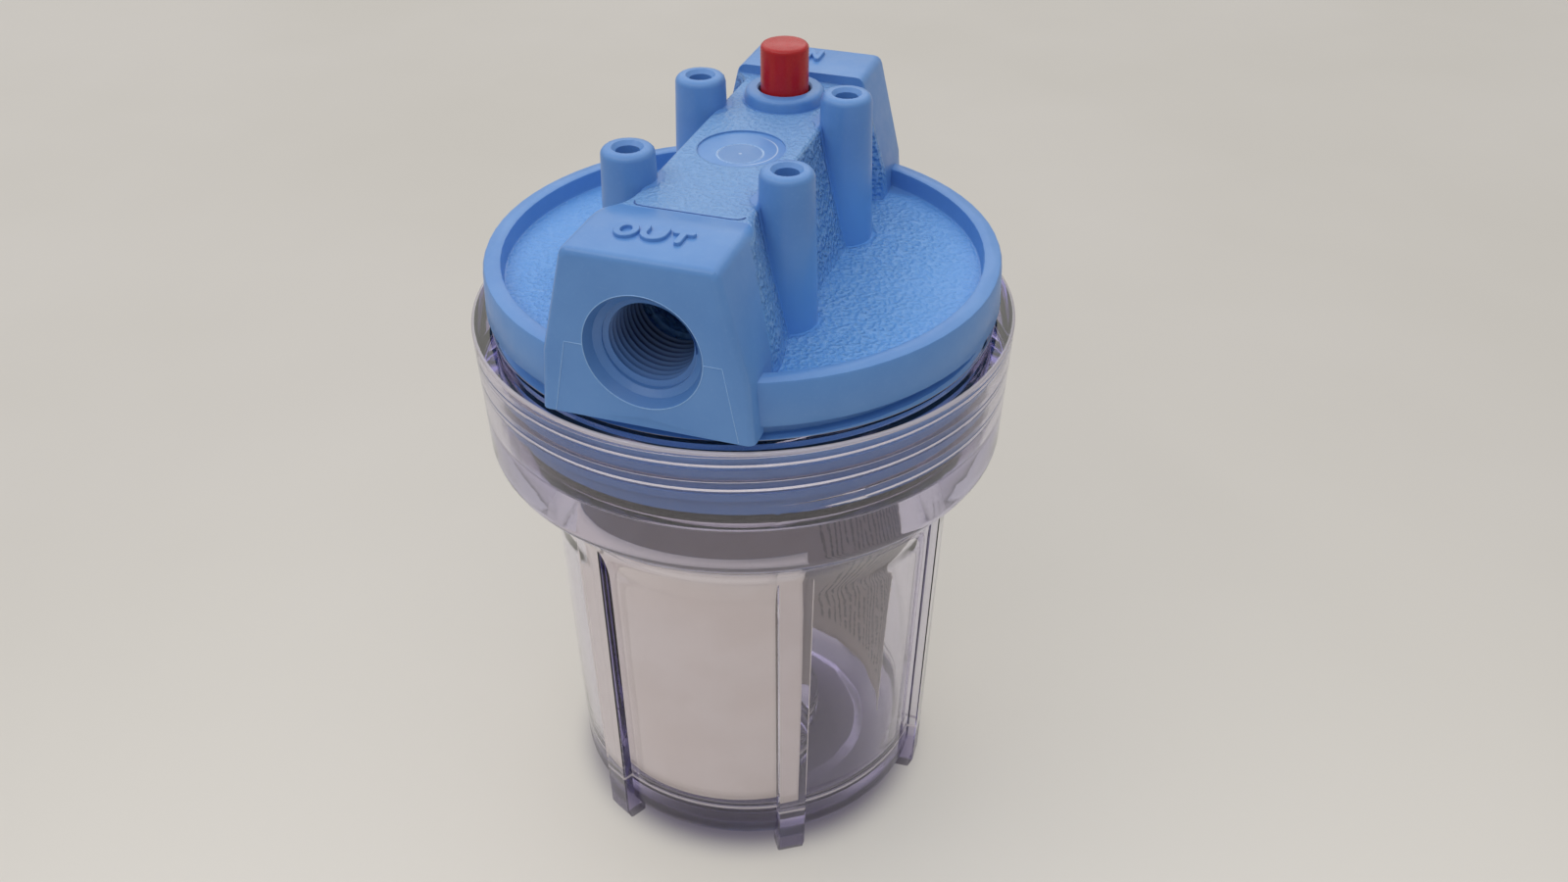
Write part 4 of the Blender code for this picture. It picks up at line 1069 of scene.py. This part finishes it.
def make_floor():
    """Plain pale floor, painted lighter towards the front right, with the violet shade that the clear bowl
    gives it in the photograph painted under the bowl, which casts no shadow of its own.
    """
    floor_mesh = bpy.data.meshes.new("floor")
    half = FLOOR_HALF_WIDTH
    floor_mesh.from_pydata(
        [(-half, -half, 0), (half, -half, 0), (half, half, 0), (-half, half, 0)], [], [(0, 1, 2, 3)]
    )
    floor = add_object("floor", floor_mesh)
    s = Shade("floor_look")
    cloud = s.noise(0.004, 3.0, 0.5)
    colour = s.mix(s.ramp(cloud, 0.3, 0.7), linear(203, 200, 195), linear(207, 204, 200))
    # Painted light: the floor is painted lighter towards the front right.
    near = s.ramp(s.length(s.take(s.x, 70.0), s.add(s.y, 150.0)), 60.0, 420.0, 1.0, 0.0)
    colour = s.mix(near, colour, linear(229, 226, 221))
    # Painted shadow: a violet shade painted on the floor under the bowl, which casts none itself.
    shade = s.ramp(s.length(s.x, s.y), BODY_BASE_RADIUS - 6.0, BODY_BASE_RADIUS + 9.0, 1.0, 0.0)
    colour = s.mix(s.times(shade, shade, 0.85), colour, linear(98, 90, 118))
    s.set(Base_Color=colour, Roughness=s.ramp(s.noise(0.03), 0.3, 0.7, 0.75, 0.85), Specular_IOR_Level=0.2)
    floor_mesh.materials.append(s.material)


def make_world():
    """Even light from all round, and the pale background that the camera, gloss and clear plastic see."""
    world = bpy.data.worlds.new("soft_room")
    bpy.context.scene.world = world
    world.use_nodes = True
    nodes = world.node_tree.nodes
    links = world.node_tree.links
    back = nodes["Background"]
    back.inputs["Color"].default_value = (*LAMP_COLOUR, 1.0)
    back.inputs["Strength"].default_value = WORLD_STRENGTH
    seen = nodes.new("ShaderNodeBackground")
    seen.inputs["Color"].default_value = linear(204, 202, 195)
    seen.inputs["Strength"].default_value = 1.0
    path = nodes.new("ShaderNodeLightPath")
    either = nodes.new("ShaderNodeMath")
    either.operation = "MAXIMUM"
    links.new(path.outputs["Is Camera Ray"], either.inputs[0])
    links.new(path.outputs["Is Transmission Ray"], either.inputs[1])
    both = nodes.new("ShaderNodeMath")
    both.operation = "MAXIMUM"
    links.new(either.outputs[0], both.inputs[0])
    links.new(path.outputs["Is Glossy Ray"], both.inputs[1])
    mix = nodes.new("ShaderNodeMixShader")
    links.new(both.outputs[0], mix.inputs[0])
    links.new(back.outputs[0], mix.inputs[1])
    links.new(seen.outputs[0], mix.inputs[2])
    links.new(mix.outputs[0], nodes["World Output"].inputs["Surface"])


def make_lamps():
    """One wide soft lamp overhead and two narrow tubes in front."""
    for name, place, target, size, size_y, watts in (
        ("overhead", (-0.40, 0.30, 2.2), (0.0, 0.0, 0.1), 6.0, 6.0, 96.0),
        ("tube_left", (-0.55, -0.65, 1.15), (0.0, 0.0, 0.12), 1.1, 0.07, 1.6),
        ("tube_right", (0.35, -0.75, 1.25), (0.0, 0.0, 0.12), 1.1, 0.07, 1.6),
    ):
        lamp = bpy.data.lights.new(name, "AREA")
        lamp.shape = "RECTANGLE"
        lamp.size = size
        lamp.size_y = size_y
        lamp.energy = watts
        lamp.color = LAMP_COLOUR
        holder = add_object(name, lamp)
        holder.location = place
        aim = Vector(target) - Vector(place)
        holder.rotation_euler = aim.to_track_quat("-Z", "Y").to_euler()


def make_camera():
    """The camera at the photograph's angle, and the plain view transform."""
    lens = bpy.data.cameras.new("camera")
    lens.sensor_width = CAMERA_SENSOR
    lens.lens = CAMERA_LENS
    lens.clip_start = 0.01
    lens.clip_end = 50.0
    camera = add_object("camera", lens)
    camera.location = CAMERA_PLACE
    camera.rotation_euler = CAMERA_TURN
    bpy.context.scene.camera = camera
    bpy.context.scene.view_settings.view_transform = "Standard"


make_bowl()
make_seal()
make_cap()
make_relief()
make_leaflet()
make_floor()
make_world()
make_lamps()
make_camera()
